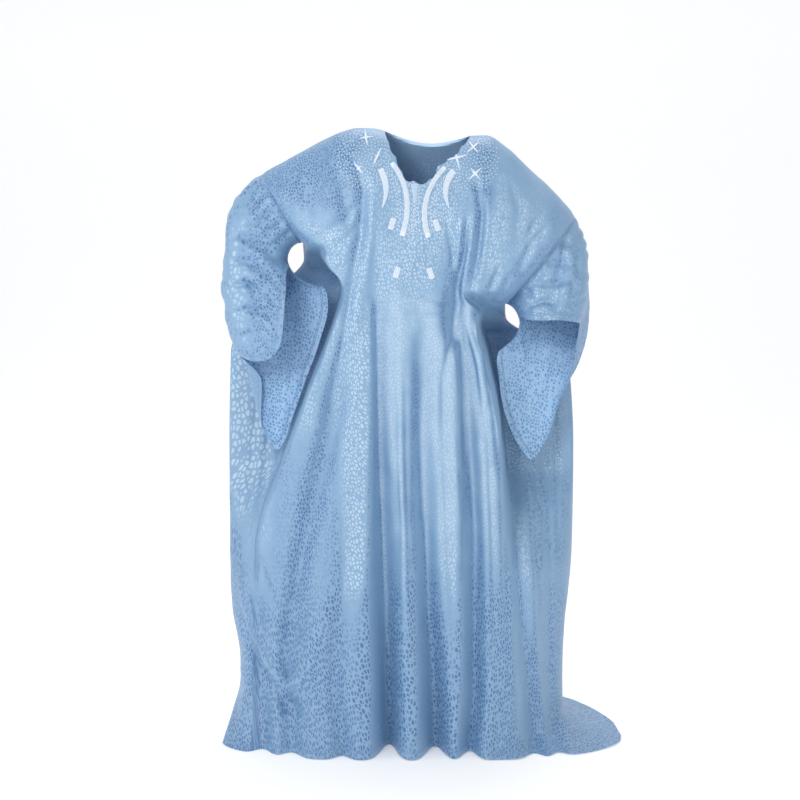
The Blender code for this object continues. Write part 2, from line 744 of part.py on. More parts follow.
def build() -> None:
    """Builds every piece of the dress."""
    for item in list(bpy.data.objects):
        bpy.data.objects.remove(item, do_unlink=True)
    front, back = panel_surface(False), panel_surface(True)
    back[: ARMHOLE_CELLS + 1 : ARMHOLE_CELLS, 0] = front[: ARMHOLE_CELLS + 1 : ARMHOLE_CELLS, 0]
    back[: ARMHOLE_CELLS + 1 : ARMHOLE_CELLS, -1] = front[: ARMHOLE_CELLS + 1 : ARMHOLE_CELLS, -1]
    back[ARMHOLE_CELLS:, 0], back[ARMHOLE_CELLS:, -1] = front[ARMHOLE_CELLS:, 0], front[ARMHOLE_CELLS:, -1]
    left, right = LEFT_SHOULDER_CELLS + 1, RIGHT_SHOULDER_CELLS + 1
    back[0, :left], back[0, -right:] = front[0, :left], front[0, -right:]

    rings = {}
    for cut, side in ((RIGHT_ARM_SLEEVE, 0), (LEFT_ARM_SLEEVE, -1)):
        fore, aft = front[: ARMHOLE_CELLS + 1, side], back[1:ARMHOLE_CELLS, side][::-1]
        rings[cut.name] = np.concatenate((fore, aft))
    grids = [ClothGrid("body_front", front, False, False), ClothGrid("body_back", back, False, True)]
    for cut in (RIGHT_ARM_SLEEVE, LEFT_ARM_SLEEVE):
        grids.append(ClothGrid(cut.name, sleeve_surface(cut, rings[cut.name]), True, cut.outward > 0))
    normals = shared_normals(grids)
    cloth = fabric("satin_jacquard_light_blue", CLOTH_BLUE, 0.45)
    trim_cloth = fabric("white_embroidery", TRIM_WHITE, 0.6)
    trees = {}
    for grid, normal in zip(grids, normals):
        points = grid.points.copy()
        if grid.closed:
            wrapped = np.concatenate((points[:, -1:], points, points[:, :1]), axis=1)
            turned = np.concatenate((normal[:, -1:], normal, normal[:, :1]), axis=1)
            pull_from_seam(wrapped, turned, (0, slice(None)), (1, slice(None)))
            points = wrapped[:, 1:-1]
        else:
            for rows in (slice(0, ARMHOLE_CELLS + 1), slice(ARMHOLE_CELLS, None)):
                pull_from_seam(points, normal, (rows, 0), (rows, 1))
                pull_from_seam(points, normal, (rows, -1), (rows, -2))
            pull_from_seam(points, normal, (0, slice(0, left)), (1, slice(0, left)))
            pull_from_seam(points, normal, (0, slice(-right, None)), (1, slice(-right, None)))
        ease_underarms(grid, points)
        vertices, faces = wall_mesh(grid, points, normal)
        add_object(grid.name, vertices, outward_faces(vertices, faces), cloth)
        trees[grid.name] = BVHTree.FromPolygons([tuple(v) for v in vertices], faces)
    for trim in TRIMS:
        vertices, faces = trim_mesh(trim, trees["body_front"])
        add_object(trim.name, vertices, outward_faces(vertices, faces), trim_cloth)


build()
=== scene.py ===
"""Looks of a floor-length kaftan dress in light blue satin jacquard.

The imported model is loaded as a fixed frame, in metres, with +Z up, +X to the viewer's right and
+Y away from the viewer. Each cut piece of cloth is worked out again as a fine thin shell on the
same form as its solid, with creases, hems and a jacquard that follows the cloth.
"""

from __future__ import annotations

import logging
import math
from dataclasses import dataclass, field
from enum import Enum
from typing import NamedTuple

import bpy
import numpy as np
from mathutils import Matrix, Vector
from mathutils.bvhtree import BVHTree

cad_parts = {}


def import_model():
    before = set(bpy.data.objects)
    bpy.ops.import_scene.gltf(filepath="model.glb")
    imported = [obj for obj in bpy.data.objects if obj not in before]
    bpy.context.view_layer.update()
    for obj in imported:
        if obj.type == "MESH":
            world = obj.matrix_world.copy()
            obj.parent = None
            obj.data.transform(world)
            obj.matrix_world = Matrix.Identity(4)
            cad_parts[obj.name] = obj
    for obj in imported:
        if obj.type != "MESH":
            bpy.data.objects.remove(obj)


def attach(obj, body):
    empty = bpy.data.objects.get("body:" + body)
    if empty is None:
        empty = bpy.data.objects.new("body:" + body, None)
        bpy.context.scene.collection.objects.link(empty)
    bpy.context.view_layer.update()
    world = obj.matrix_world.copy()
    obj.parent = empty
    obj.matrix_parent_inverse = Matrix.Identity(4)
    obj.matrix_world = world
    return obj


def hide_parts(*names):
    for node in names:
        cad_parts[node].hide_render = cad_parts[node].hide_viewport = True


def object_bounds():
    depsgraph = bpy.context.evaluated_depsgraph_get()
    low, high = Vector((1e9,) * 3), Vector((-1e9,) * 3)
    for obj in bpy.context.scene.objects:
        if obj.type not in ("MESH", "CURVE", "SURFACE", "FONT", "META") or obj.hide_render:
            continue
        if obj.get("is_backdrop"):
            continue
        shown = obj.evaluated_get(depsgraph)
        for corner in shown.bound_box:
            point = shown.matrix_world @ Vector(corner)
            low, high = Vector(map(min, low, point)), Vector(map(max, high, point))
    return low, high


LOG = logging.getLogger("kaftan")

# Sizes in metres; the powers say how square a rounding is, where 2 is an ellipse
DRESS_LENGTH = 1.44
CLOTH_THICKNESS = 0.0012
ARMHOLE_DEPTH = 0.095
SHOULDER_ROUNDING = 0.22
SHOULDER_POWER = 2.2
SIDE_POWER = 2.3
NECK_REAR_DEPTH = 0.075
NECK_REAR_DROP = 0.022
HEM_NOTCH_LIFT = 0.026
CENTRE_FLATNESS = 0.20
GUIDE_BLEND = 0.05

# Cells of the solids' grids, and how many fine cells each of them gets here
LEFT_SHOULDER_CELLS = 10
FRONT_NECK_CELLS = 26
BACK_NECK_CELLS = 8
RIGHT_SHOULDER_CELLS = 9
ARMHOLE_CELLS = 12
SLEEVE_CELLS = 13
YOKE_SPLIT = 5
YOKE_ROWS = ARMHOLE_CELLS * YOKE_SPLIT
SKIRT_SPLIT = 8
SHOULDER_SPLIT = 6
FRONT_NECK_SPLIT = 4
BACK_NECK_SPLIT = 9
SLEEVE_SPLIT = 11
SKIRT_ROWS = (
    0.0, 0.025, 0.06, 0.105, 0.16, 0.22, 0.29, 0.37, 0.45, 0.53,
    0.61, 0.69, 0.77, 0.84, 0.90, 0.945, 0.972, 0.988, 1.0,
)
SCALLOPS = 9
SCALLOP_HEIGHT = 0.0065

# How far the cloth is pulled in along the seams of the right and the left side, and how wide
SEAM_GROOVE_RIGHT = 0.0022
SEAM_GROOVE_LEFT = 0.0004
SEAM_REACH = 0.007
SEAM_EASE = 0.022
SLEEVE_SEAM_EASE = 0.018
SEAM_STITCH = 0.0105

# Corners of a grid's cell, as steps down and across
CORNERS = ((0, 0), (0, 1), (1, 1), (1, 0))


class Side(Enum):
    """The two cut panels of the body."""

    FRONT = "front"
    BACK = "back"


class EdgePoint(NamedTuple):
    """A point of a cut edge, seen from the front."""

    x: float
    z: float


class SectionRow(NamedTuple):
    """Where a side seam runs at a height."""

    z: float
    x: float
    y: float


class DepthRow(NamedTuple):
    """How far the front and back stand off at a height, and how wide they round."""

    z: float
    front: float
    back: float
    rounding: float


class TurnRow(NamedTuple):
    """How far the front turns back behind a sleeve at a height."""

    z: float
    share: float


class Guide(NamedTuple):
    """A fold line of the skirt: x at each of GUIDE_HEIGHTS, and its valley."""

    name: str
    cells_before: int
    x: tuple[float, ...]
    width: float
    first_z: float
    upper_depth: float
    hem_depth: float


class HemRow(NamedTuple):
    """A point of a sleeve hem, by its place across the sleeve and round the underarm."""

    across: float
    angle: float
    radius: float


class Crease(NamedTuple):
    """A soft trough, or a ridge where its depth is negative, along a line seen from the front."""

    line: tuple[tuple[float, float], ...]
    width: float
    depth: float


class Ramp(NamedTuple):
    """A smooth rise from 0 to 1 past a start, or below it where the width is negative."""

    start: float
    width: float

    def at(self, value: np.ndarray) -> np.ndarray:
        """Gives the rise at each value."""
        return smooth_step((value - self.start) / self.width)


# Where the broad pebbles, the painted light and shade and the calm painted sheen of the body's
# cloth come in, by x or z in metres
BROAD_RAMPS = (Ramp(-0.30, -0.08), Ramp(-0.34, -0.10), Ramp(-1.15, 0.25))
YOKE_RAMPS = (Ramp(0.15, 0.04), Ramp(-0.46, 0.10))
SHOULDER_RAMPS = (Ramp(-0.24, 0.10), Ramp(0.10, 0.08))
LOW_EDGE = -0.92
LOW_WIDTH = 0.34
LOW_EDGE_SIDE = Ramp(-0.34, -0.06)
LAP_RAMPS = (Ramp(-0.37, 0.05), Ramp(-0.160, -0.03), Ramp(-0.60, -0.16))
CREST_LINES = ((-0.124, 0.024), (0.088, 0.020))
CREST_RAMPS = (Ramp(-0.36, -0.10), Ramp(-1.15, 0.20))
CALM_SHARE = 0.55
CALM_MIDDLE = 0.045
CALM_RAMPS = (Ramp(0.17, -0.06), Ramp(-0.33, -0.08), Ramp(-1.10, 0.25))
SLEEVE_EDGE = Ramp(0.37, 0.04)
SLEEVE_BACK_LEAN = -1.9

# How the pebbles are painted light and shade on the cloth: the way the painted light comes from,
# and where it changes
PAINTED_LIGHT_WAY = (-0.30, 0.93, 0.20)
GLEAM_MIDDLE = 0.80
GLEAM_REACH = 0.17
GLEAM_LEAST = -0.3
GLEAM_NOISE = 0.30
HIGH_RAMP = Ramp(-0.24, 0.08)
OUTER_RAMP = Ramp(0.32, 0.06)
OUTER_MIDDLE = -0.045
OUTER_FADE = 0.7
WALL_RAMP = Ramp(0.30, 0.35)
WALL_EASE_HIGH = 0.25
LYING_RAMPS = (Ramp(0.45, 0.25), Ramp(-1.22, -0.12))
LYING_GLEAM = -0.9


def metres(value: float | tuple) -> float | tuple:
    """Turns millimetres into metres, also each number of a tuple."""
    return tuple(map(metres, value)) if isinstance(value, tuple) else value / 1000.0


def table(kind: type, *rows: tuple, plain: tuple[str, ...] = ()) -> tuple:
    """Makes a table's rows, whose numbers are in millimetres apart from the plain columns.

    Args:
        kind: the class of a row, whose fields name the columns.
        rows: the values of each row.
        plain: the columns that hold no lengths.

    Returns:
        The rows as that class, in metres.
    """
    return tuple(
        kind(*(
            value if name in plain else metres(value)
            for name, value in zip(kind.__annotations__, row)
        ))
        for row in rows
    )


LEFT_SHOULDER = table(
    EdgePoint,
    (-367, -97), (-329, -77), (-273, -46), (-216, -16), (-178, 0), (-141, 9), (-103, 8), (-77, 2),
)
RIGHT_SHOULDER = table(
    EdgePoint,
    (122, -9), (160, -8), (197, -28), (235, -60), (273, -96), (311, -131), (349, -171), (369, -196),
)
FRONT_NECK = table(
    EdgePoint,
    (-77, 2), (-62, -38), (-46, -67), (-36, -92), (-18, -111), (7, -114), (25, -110), (38, -88),
    (54, -70), (78, -57), (100, -35), (122, -9),
)
LEFT_SEAM = table(
    SectionRow,
    (-257, -272, 0), (-300, -276, 55), (-360, -330, 92), (-440, -418, 105), (-530, -461, 105),
    (-760, -466, 80), (-980, -462, 40), (-1130, -455, 10), (-1270, -434, -15), (-1330, -437, -30),
    (-1385, -452, -55), (-1420, -462, -85), (-1440, -468, -125),
)
RIGHT_SEAM = table(
    SectionRow,
    (-402, 207, 0), (-440, 212, 55), (-500, 292, 88), (-570, 372, 95), (-760, 382, 75),
    (-980, 378, 35), (-1180, 358, 0), (-1280, 353, 0), (-1380, 356, 0), (-1412, 370, -10),
    (-1430, 420, -40), (-1438, 490, -100),
)
BODY_DEPTHS = table(
    DepthRow,
    (20, 115, 85, 120), (-120, 130, 115, 110), (-250, 150, 138, 90), (-380, 165, 155, 110),
    (-600, 182, 178, 220), (-950, 205, 215, 280), (-1250, 235, 260, 300), (-1440, 262, 290, 300),
)
LEFT_TURN = table(
    TurnRow,
    (-257, 0.00), (-290, 0.70), (-330, 0.90), (-500, 0.92), (-780, 0.86), (-930, 0.42),
    (-1080, 0.00),
    plain=("share",),
)
RIGHT_TURN = table(
    TurnRow,
    (-365, 0.00), (-430, 0.60), (-480, 0.90), (-540, 0.92), (-800, 0.86), (-900, 0.42),
    (-1020, 0.00),
    plain=("share",),
)
GUIDE_HEIGHTS = metres((-260, -310, -360, -440, -520, -700, -980, -1260, -1410))
FRONT_GUIDES = table(
    Guide,
    ("left_foot", 4, (-262, -212, -188, -208, -238, -304, -392, -398, -396), 20, -1300, 0, 0),
    ("left_ridge", 2, (-250, -194, -170, -190, -220, -286, -374, -372, -366), 24, -900, 16, 35),
    ("upper_left", 4, (-185, -150, -140, -150, -165, -200, -270, -305, -296), 26, -400, 22, 34),
    ("lower_left", 4, (-150, -122, -116, -122, -128, -142, -168, -190, -176), 20, -880, 8, 28),
    ("centre_left", 5, (-88, -90, -90, -92, -92, -90, -80, -71, -68), 26, -200, 16, 105),
    ("centre", 6, (8, 9, 10, 11, 12, 10, 20, 34, 40), 26, -330, 12, 90),
    ("centre_right", 5, (85, 88, 88, 86, 108, 118, 131, 131, 122), 22, -160, 22, 60),
    ("right_ridge", 5, (170, 165, 154, 134, 155, 188, 210, 236, 250), 20, -1300, 0, 0),
    ("right_foot", 2, (186, 183, 174, 156, 176, 208, 232, 256, 272), 24, -620, 16, 34),
    ("side_right", 4, (196, 200, 204, 205, 262, 305, 312, 315, 330), 20, -700, 14, 26),
    plain=("name", "cells_before"),
)
BACK_GUIDES = table(
    Guide,
    ("back_side_left", 5, (-200, -210, -230, -260, -280, -300, -330, -340, -340), 30, -200, 20, 45),
    ("back_left", 4, (-110, -120, -125, -130, -140, -160, -190, -210, -210), 30, -100, 18, 70),
    ("back_centre", 4, (-20, -20, -20, -20, -20, -30, -40, -40, -40), 30, -60, 18, 75),
    ("back_right", 4, (70, 75, 80, 85, 90, 100, 120, 120, 120), 30, -100, 18, 70),
    ("back_side_right", 5, (150, 155, 160, 170, 200, 240, 270, 270, 270), 30, -200, 20, 45),
    plain=("name", "cells_before"),
)
FRONT_LAST_CELLS = 4
BACK_LAST_CELLS = 5

FRONT_CREASES = table(
    Crease,
    # gathers where the cloth is drawn to the hip
    (((60, -170), (82, -290), (92, -390), (60, -560), (50, -760)), 9, 6),
    (((132, -110), (147, -188), (141, -247), (134, -307), (116, -392)), 10, 12),
    (((160, -150), (157, -230), (146, -300), (126, -390)), 7, -4),
    (((127, -180), (122, -250), (108, -330), (96, -385)), 6, -6),
    (((112, -190), (106, -270), (92, -345), (84, -390)), 6, 7),
    (((100, -190), (92, -270), (78, -350)), 6, -5),
    (((188, -300), (166, -360), (134, -400)), 8, 6),
    (((215, -320), (194, -368), (152, -412)), 8, 5),
    (((100, -106), (150, -124), (205, -118)), 16, 5),
    (((119, -430), (152, -520), (176, -640), (190, -790)), 9, 6),
    (((104, -440), (128, -540), (148, -690)), 8, 6),
    (((76, -430), (86, -560), (88, -760), (90, -1000)), 12, -6),
    (((98, -420), (104, -600), (106, -850), (108, -1080)), 6, 7),
    (((86, -402), (20, -372), (-50, -352)), 10, 4),
    (((84, -418), (30, -420), (-30, -412)), 10, 3),
    # soft drags from the shoulders
    (((-300, -72), (-262, -140), (-240, -226)), 14, 5),
    (((-215, -40), (-176, -126), (-156, -226)), 14, 5),
    (((-150, -50), (-124, -133), (-130, -223), (-152, -340), (-168, -440)), 13, 12),
    (((-104, -150), (-108, -250), (-124, -360)), 10, -4),
    (((-130, -150), (-170, -205), (-226, -240)), 12, 5),
    (((-126, -190), (-160, -240), (-190, -262)), 10, 4),
    (((206, -100), (232, -180), (222, -280)), 12, 4),
    (((292, -180), (266, -210), (240, -262)), 8, 5),
    (((300, -214), (262, -250), (226, -330)), 8, 6),
    # the skirt
    (((-146, -330), (-172, -480), (-205, -640), (-262, -860)), 11, 7),
    (((-108, -380), (-114, -540), (-118, -740), (-120, -1060)), 13, -12),
    (((-60, -420), (-56, -640), (-50, -900), (-46, -1180)), 12, 6),
    (((-30, -520), (-26, -760), (-18, -1000), (-8, -1300)), 10, 5),
    (((52, -520), (62, -760), (72, -1000), (84, -1320)), 11, 6),
    (((156, -620), (168, -840), (176, -1080), (186, -1340)), 11, 7),
    (((196, -660), (204, -900), (206, -1140), (210, -1380)), 9, 5),
    (((262, -560), (276, -760), (282, -1000), (296, -1300)), 10, 6),
    (((330, -560), (338, -760), (338, -1000), (334, -1260)), 9, 6),
    # swags low on the left, seen from the front
    (((-425, -980), (-408, -1120), (-362, -1230), (-300, -1295), (-255, -1240), (-225, -1140),
     (-195, -1020)), 18, -13),
    (((-428, -1100), (-380, -1270), (-300, -1345), (-200, -1290)), 14, 9),
    (((-400, -960), (-340, -1090), (-290, -1170), (-250, -1060)), 16, 6),
    (((-402, -1200), (-330, -1320), (-240, -1380)), 13, 6),
    (((-425, -1290), (-438, -1360), (-450, -1425)), 10, 5),
    # the side that hangs behind the right sleeve
    (((-385, -560), (-402, -740), (-416, -940)), 10, 5),
    (((-350, -560), (-368, -740), (-392, -980)), 10, 6),
    (((-300, -520), (-322, -680), (-352, -860)), 10, 5),
)
BACK_CREASES = table(
    Crease,
    (((-250, -80), (-180, -190), (-150, -330)), 14, 6),
    (((-160, -40), (-120, -170), (-100, -340)), 14, 6),
    (((180, -60), (150, -200), (130, -380)), 14, 6),
    (((270, -130), (210, -230), (170, -380)), 13, 6),
    (((30, -80), (26, -260), (24, -480)), 12, 5),
    (((-240, -300), (-180, -340), (-110, -360)), 14, 5),
    (((200, -420), (130, -450), (60, -460)), 14, 5),
    (((-80, -500), (-86, -800), (-110, -1150)), 14, 8),
    (((36, -560), (40, -860), (46, -1200)), 14, 8),
    (((166, -520), (186, -820), (200, -1180)), 13, 8),
    (((-236, -520), (-252, -820), (-268, -1180)), 13, 8),
    (((310, -620), (322, -900), (320, -1200)), 12, 6),
    (((-400, -620), (-404, -900), (-400, -1200)), 12, 6),
    (((-360, -1080), (-220, -1280), (-60, -1180)), 18, 8),
)


@dataclass(frozen=True)
class SleeveCut:
    """A wide sleeve's sizes: threads fanned round a point just below the armhole."""

    node: str
    outward: int
    centre: tuple[float, float]
    outer_radii: tuple[float, ...]
    front_hem: tuple[HemRow, ...]
    back_hem: tuple[HemRow, ...]
    creases: tuple[Crease, ...]
    back_creases: tuple[Crease, ...]
    crumple: float
    flat_size: tuple[float, float]
    flat_area: float
    # how much darker the front's pebbles are painted, as painted shade
    front_lean: float
    outer_y: float = -0.045
    inner_y: float = -0.050
    front_depth: float = 0.085
    back_depth: float = 0.040
    puff: float = 0.006


RIGHT_ARM_SLEEVE = SleeveCut(
    node="sleeve_right_arm",
    outward=-1,
    centre=metres((-272, -293)),
    outer_radii=metres((229, 212, 188, 209, 272)),
    front_hem=table(
        HemRow,
        (0.00, 145.8, 272), (0.10, 154.0, 262), (0.25, 163.0, 236), (0.45, 167.0, 192),
        (0.65, 164.0, 133), (0.85, 152.0, 70), (1.00, 122.0, 36),
        plain=("across", "angle"),
    ),
    back_hem=table(
        HemRow,
        (0.00, 145.8, 272), (0.10, 160.0, 300), (0.20, 166.0, 415), (0.30, 171.7, 466),
        (0.40, 173.7, 440), (0.50, 175.0, 400), (0.62, 180.0, 300), (0.74, 192.0, 194),
        (0.84, 207.0, 128), (0.92, 215.0, 86), (0.97, 170.0, 52), (1.00, 122.0, 36),
        plain=("across", "angle"),
    ),
    creases=table(
        Crease,
        (((-360, -107), (-386, -142), (-400, -175)), 8, 6),
        (((-341, -134), (-369, -160), (-390, -192)), 7, 7),
        (((-318, -166), (-346, -187), (-374, -218)), 7, 7),
        (((-295, -198), (-328, -214), (-364, -244)), 7, 6),
        (((-284, -222), (-312, -240), (-344, -262)), 6, 5),
        (((-428, -232), (-386, -248), (-341, -275), (-306, -312)), 11, 9),
        (((-433, -298), (-392, -298), (-350, -321), (-314, -363)), 10, 8),
        (((-434, -352), (-392, -348), (-351, -368), (-315, -404)), 9, 8),
        (((-431, -420), (-389, -405), (-347, -412), (-315, -437)), 10, 8),
        (((-423, -482), (-381, -458), (-344, -454)), 10, 6),
        (((-400, -330), (-372, -380), (-366, -440)), 9, 6),
        (((-352, -240), (-360, -300), (-372, -360)), 8, -4),
    ),
    back_creases=table(
        Crease,
        (((-316, -500), (-318, -620), (-334, -730)), 7, 6),
        (((-290, -420), (-286, -540), (-310, -680)), 9, 5),
        (((-370, -200), (-400, -300), (-390, -420)), 12, 7),
        (((-320, -180), (-352, -290), (-350, -420)), 12, 6),
    ),
    crumple=0.0028,
    flat_size=(0.81, 0.66),
    flat_area=0.225,
    front_lean=-1.7,
)
LEFT_ARM_SLEEVE = SleeveCut(
    node="sleeve_left_arm",
    outward=1,
    centre=metres((202, -438)),
    outer_radii=metres((298, 262, 226, 200, 180)),
    front_hem=table(
        HemRow,
        (0.00, 92.0, 180), (0.30, 87.0, 128), (0.70, 84.0, 68), (1.00, 78.0, 36),
        plain=("across", "angle"),
    ),
    back_hem=table(
        HemRow,
        (0.00, 92.0, 180), (0.08, 103.0, 182), (0.20, 122.0, 198), (0.35, 145.0, 240),
        (0.50, 168.0, 348), (0.58, 171.0, 325), (0.70, 178.0, 233), (0.82, 184.0, 140),
        (0.92, 190.0, 80), (0.97, 145.0, 50), (1.00, 78.0, 36),
        plain=("across", "angle"),
    ),
    creases=table(
        Crease,
        (((326, -170), (304, -205), (291, -242)), 8, 7),
        (((296, -196), (280, -226), (276, -262)), 7, 7),
        (((266, -234), (262, -268), (274, -304)), 7, 7),
        (((240, -282), (252, -306), (272, -336)), 7, 7),
        (((223, -340), (244, -356), (270, -386)), 7, 6),
        (((345, -200), (334, -300), (306, -410)), 11, 7),
        (((374, -240), (372, -330), (350, -404)), 10, 6),
        (((272, -270), (309, -298), (360, -303)), 10, 7),
        (((250, -345), (296, -350), (360, -340)), 9, 6),
        (((300, -240), (336, -256), (372, -256)), 9, 5),
        (((250, -404), (290, -386), (330, -392)), 8, 5),
    ),
    back_creases=table(
        Crease,
        (((186, -500), (206, -610), (250, -715)), 8, 5),
        (((242, -460), (256, -590), (266, -720)), 8, 5),
        (((325, -445), (307, -560), (282, -690)), 9, 6),
        (((340, -220), (348, -320), (330, -420)), 12, 7),
    ),
    crumple=0.0026,
    flat_size=(0.69, 0.53),
    flat_area=0.162,
    front_lean=0.0,
)


def column(rows: tuple, name: str) -> np.ndarray:
    """Reads one named column of a table of rows."""
    return np.array([getattr(row, name) for row in rows], dtype=float)


def through(value: np.ndarray, keys: np.ndarray, values: np.ndarray) -> np.ndarray:
    """Draws a smooth line through table points, without overshoot.

    Each span is a cubic whose end slopes are the harmonic mean of the slopes on both sides.

    Args:
        value: where to read the line.
        keys: the points' keys, rising or falling.
        values: the points' values.

    Returns:
        The line's value at each place, held level past the ends.
    """
    keys, values = np.asarray(keys, dtype=float), np.asarray(values, dtype=float)
    if keys[0] > keys[-1]:
        keys, values = keys[::-1], values[::-1]
    step = np.diff(keys)
    rise = np.diff(values) / step
    slope = np.empty_like(values)
    same = rise[:-1] * rise[1:] > 0.0
    total = np.where(same, rise[:-1] + rise[1:], 1.0)
    slope[1:-1] = np.where(same, 2.0 * rise[:-1] * rise[1:] / total, 0.0)
    slope[0], slope[-1] = rise[0], rise[-1]
    place = np.clip(np.searchsorted(keys, value, side="right") - 1, 0, len(step) - 1)
    t = np.clip((value - keys[place]) / step[place], 0.0, 1.0)
    low, high = values[place], values[place + 1]
    first, second = slope[place] * step[place], slope[place + 1] * step[place]
    return (
        (2 * t ** 3 - 3 * t ** 2 + 1) * low + (t ** 3 - 2 * t ** 2 + t) * first
        + (-2 * t ** 3 + 3 * t ** 2) * high + (t ** 3 - t ** 2) * second
    )


def along(value: np.ndarray, rows: tuple, key: str, name: str) -> np.ndarray:
    """Draws a smooth line through a table's column at a value of its key."""
    return through(np.asarray(value, dtype=float), column(rows, key), column(rows, name))


def smooth_step(value: np.ndarray) -> np.ndarray:
    """Rises from 0 to 1 with level ends."""
    share = np.clip(value, 0.0, 1.0)
    return share * share * (3.0 - 2.0 * share)


def all_of(ramps: tuple[Ramp, ...], *values: np.ndarray) -> np.ndarray:
    """Multiplies each ramp's rise at its own value."""
    return math.prod(ramp.at(value) for ramp, value in zip(ramps, values))


def value_noise(u: np.ndarray, v: np.ndarray, cell: float, seed: int) -> np.ndarray:
    """Gives smooth noise from -1 to 1: seeded values on a square lattice, blended between.

    Args:
        u: first coordinate, in metres.
        v: second coordinate, in metres.
        cell: lattice spacing, in metres.
        seed: picks the lattice.

    Returns:
        The noise at each point.
    """
    lattice = np.random.default_rng(seed).uniform(-1.0, 1.0, (64, 64))
    a, b = u / cell, v / cell
    i, j = np.floor(a).astype(int), np.floor(b).astype(int)
    s, t = smooth_step(a - i), smooth_step(b - j)
    corner = [lattice[(i + di) % 64, (j + dj) % 64] for di in (0, 1) for dj in (0, 1)]
    near = corner[0] * (1.0 - t) + corner[1] * t
    far = corner[2] * (1.0 - t) + corner[3] * t
    return near * (1.0 - s) + far * s


def crease_depth(creases: tuple[Crease, ...], x: np.ndarray, z: np.ndarray) -> np.ndarray:
    """Adds up creases at each point: depth times a bell of the distance to the crease's line.

    Args:
        creases: the lines, widths and depths.
        x: each point's x.
        z: each point's z.

    Returns:
        How far each point moves into the cloth, in metres.
    """
    total = np.zeros_like(x)
    for crease in creases:
        points = np.array(crease.line)
        lengths = np.hypot(*np.diff(points, axis=0).T)
        start = np.concatenate(([0.0], np.cumsum(lengths)))
        nearest = np.full_like(x, np.inf)
        place = np.zeros_like(x)
        for index, length in enumerate(lengths):
            way = (points[index + 1] - points[index]) / length
            from_x, from_z = x - points[index, 0], z - points[index, 1]
            run = np.clip(from_x * way[0] + from_z * way[1], 0.0, length)
            away = np.hypot(from_x - way[0] * run, from_z - way[1] * run)
            closer = away < nearest
            nearest = np.where(closer, away, nearest)
            place = np.where(closer, (start[index] + run) / start[-1], place)
        taper = np.sin(np.pi * np.clip(place, 0.0, 1.0)) ** 0.6
        width = crease.width * (0.75 + 0.5 * place)
        total += crease.depth * np.exp(-((nearest / width) ** 2)) * taper
    return total


def run_along(points: np.ndarray, axis: int, from_end: bool = False) -> np.ndarray:
    """Adds up the steps between a grid's points along an axis.

    Args:
        points: the grid.
        axis: 0 down the rows, or 1 across them.
        from_end: counts from the last point, not from the first.

    Returns:
        Each point's way along the cloth, in metres.
    """
    if from_end:
        return np.flip(run_along(np.flip(points, axis), axis), axis)
    step = np.linalg.norm(np.diff(points, axis=axis), axis=-1)
    first = np.zeros_like(np.take(step, [0], axis=axis))
    return np.concatenate((first, np.cumsum(step, axis=axis)), axis=axis)


def grid_cells(
    rows: int, columns: int, closed: bool = False
) -> tuple[np.ndarray, np.ndarray, np.ndarray]:
    """Numbers a grid's cells.

    Args:
        rows: how many rows of points it has.
        columns: how many columns.
        closed: joins the last column to the first.

    Returns:
        Each cell's four points, and their rows and columns in the grid.
    """
    last = columns if closed else columns - 1
    j, i = np.meshgrid(np.arange(rows - 1), np.arange(last), indexing="ij")
    row = np.stack([(j + down).ravel() for down, _ in CORNERS], axis=-1)
    place = np.stack([(i + across).ravel() for _, across in CORNERS], axis=-1)
    return row * columns + place % columns, row, place


def link(name: str, data: bpy.types.ID) -> bpy.types.Object:
    """Puts a mesh, a light or a camera into the scene as an object."""
    item = bpy.data.objects.new(name, data)
    bpy.context.scene.collection.objects.link(item)
    return item


def surface_normals(points: np.ndarray, closed: bool) -> np.ndarray:
    """Gives unit normals of a grid from the cross product of its two directions."""
    down = np.gradient(points, axis=0)
    if closed:
        across = np.roll(points, -1, axis=1) - np.roll(points, 1, axis=1)
    else:
        across = np.gradient(points, axis=1)
    normal = np.cross(down, across)
    length = np.linalg.norm(normal, axis=-1, keepdims=True)
    return normal / np.maximum(length, 1.0e-12)


def painted_gleam_field(
    normals: np.ndarray, x: np.ndarray, z: np.ndarray, rear: np.ndarray, lean: np.ndarray
) -> np.ndarray:
    """Paints light and shade on the pebbles: 1 painted lighter than the ground, -1 painted darker.

    It is a steep line through the cosine between the cloth and the way the painted light comes
    from, with slow noise and a lean of its own. It fades to 0 on the steep walls of the folds, but
    not on the shoulders and the outer sides, and the cloth that lies on the floor gets painted
    shade.

    Args:
        normals: the cloth's unit normals.
        x: each point's x.
        z: each point's z.
        rear: 1 where the cloth hangs at the back and -1 at the front.
        lean: added everywhere.

    Returns:
        The field from -1 to 1.
    """
    # the way the painted light comes from, mirrored for the back
    side, away, up = PAINTED_LIGHT_WAY
    facing = np.stack((np.full_like(x, side), rear * away, np.full_like(x, up)), axis=-1)
    cosine = np.sum(normals * facing, axis=-1)
    slow = value_noise(x * 1.6, z * 0.5, 0.09, 91) * GLEAM_NOISE
    high = HIGH_RAMP.at(z)
    outer = np.maximum(OUTER_RAMP.at(np.abs(x - OUTER_MIDDLE)), high)
    turn = (cosine - GLEAM_MIDDLE) / GLEAM_REACH
    turn = turn + (np.maximum(turn, GLEAM_LEAST) - turn) * outer
    fade = WALL_RAMP.at(cosine + WALL_EASE_HIGH * high)
    gleam = np.clip(turn + slow + lean, -1.0, 1.0)
    gleam = gleam * np.maximum(fade, OUTER_FADE * outer * (1.0 - high))
    lying = LYING_RAMPS[0].at(np.abs(normals[..., 2])) * LYING_RAMPS[1].at(z)
    return gleam + (LYING_GLEAM - gleam) * lying


def linear(code: str) -> tuple[float, float, float, float]:
    """Turns an sRGB hex value into linear colour with full alpha."""
    parts = [int(code[place:place + 2], 16) / 255.0 for place in (1, 3, 5)]
    level = [part / 12.92 if part <= 0.04045 else ((part + 0.055) / 1.055) ** 2.4 for part in parts]
    return level[0], level[1], level[2], 1.0


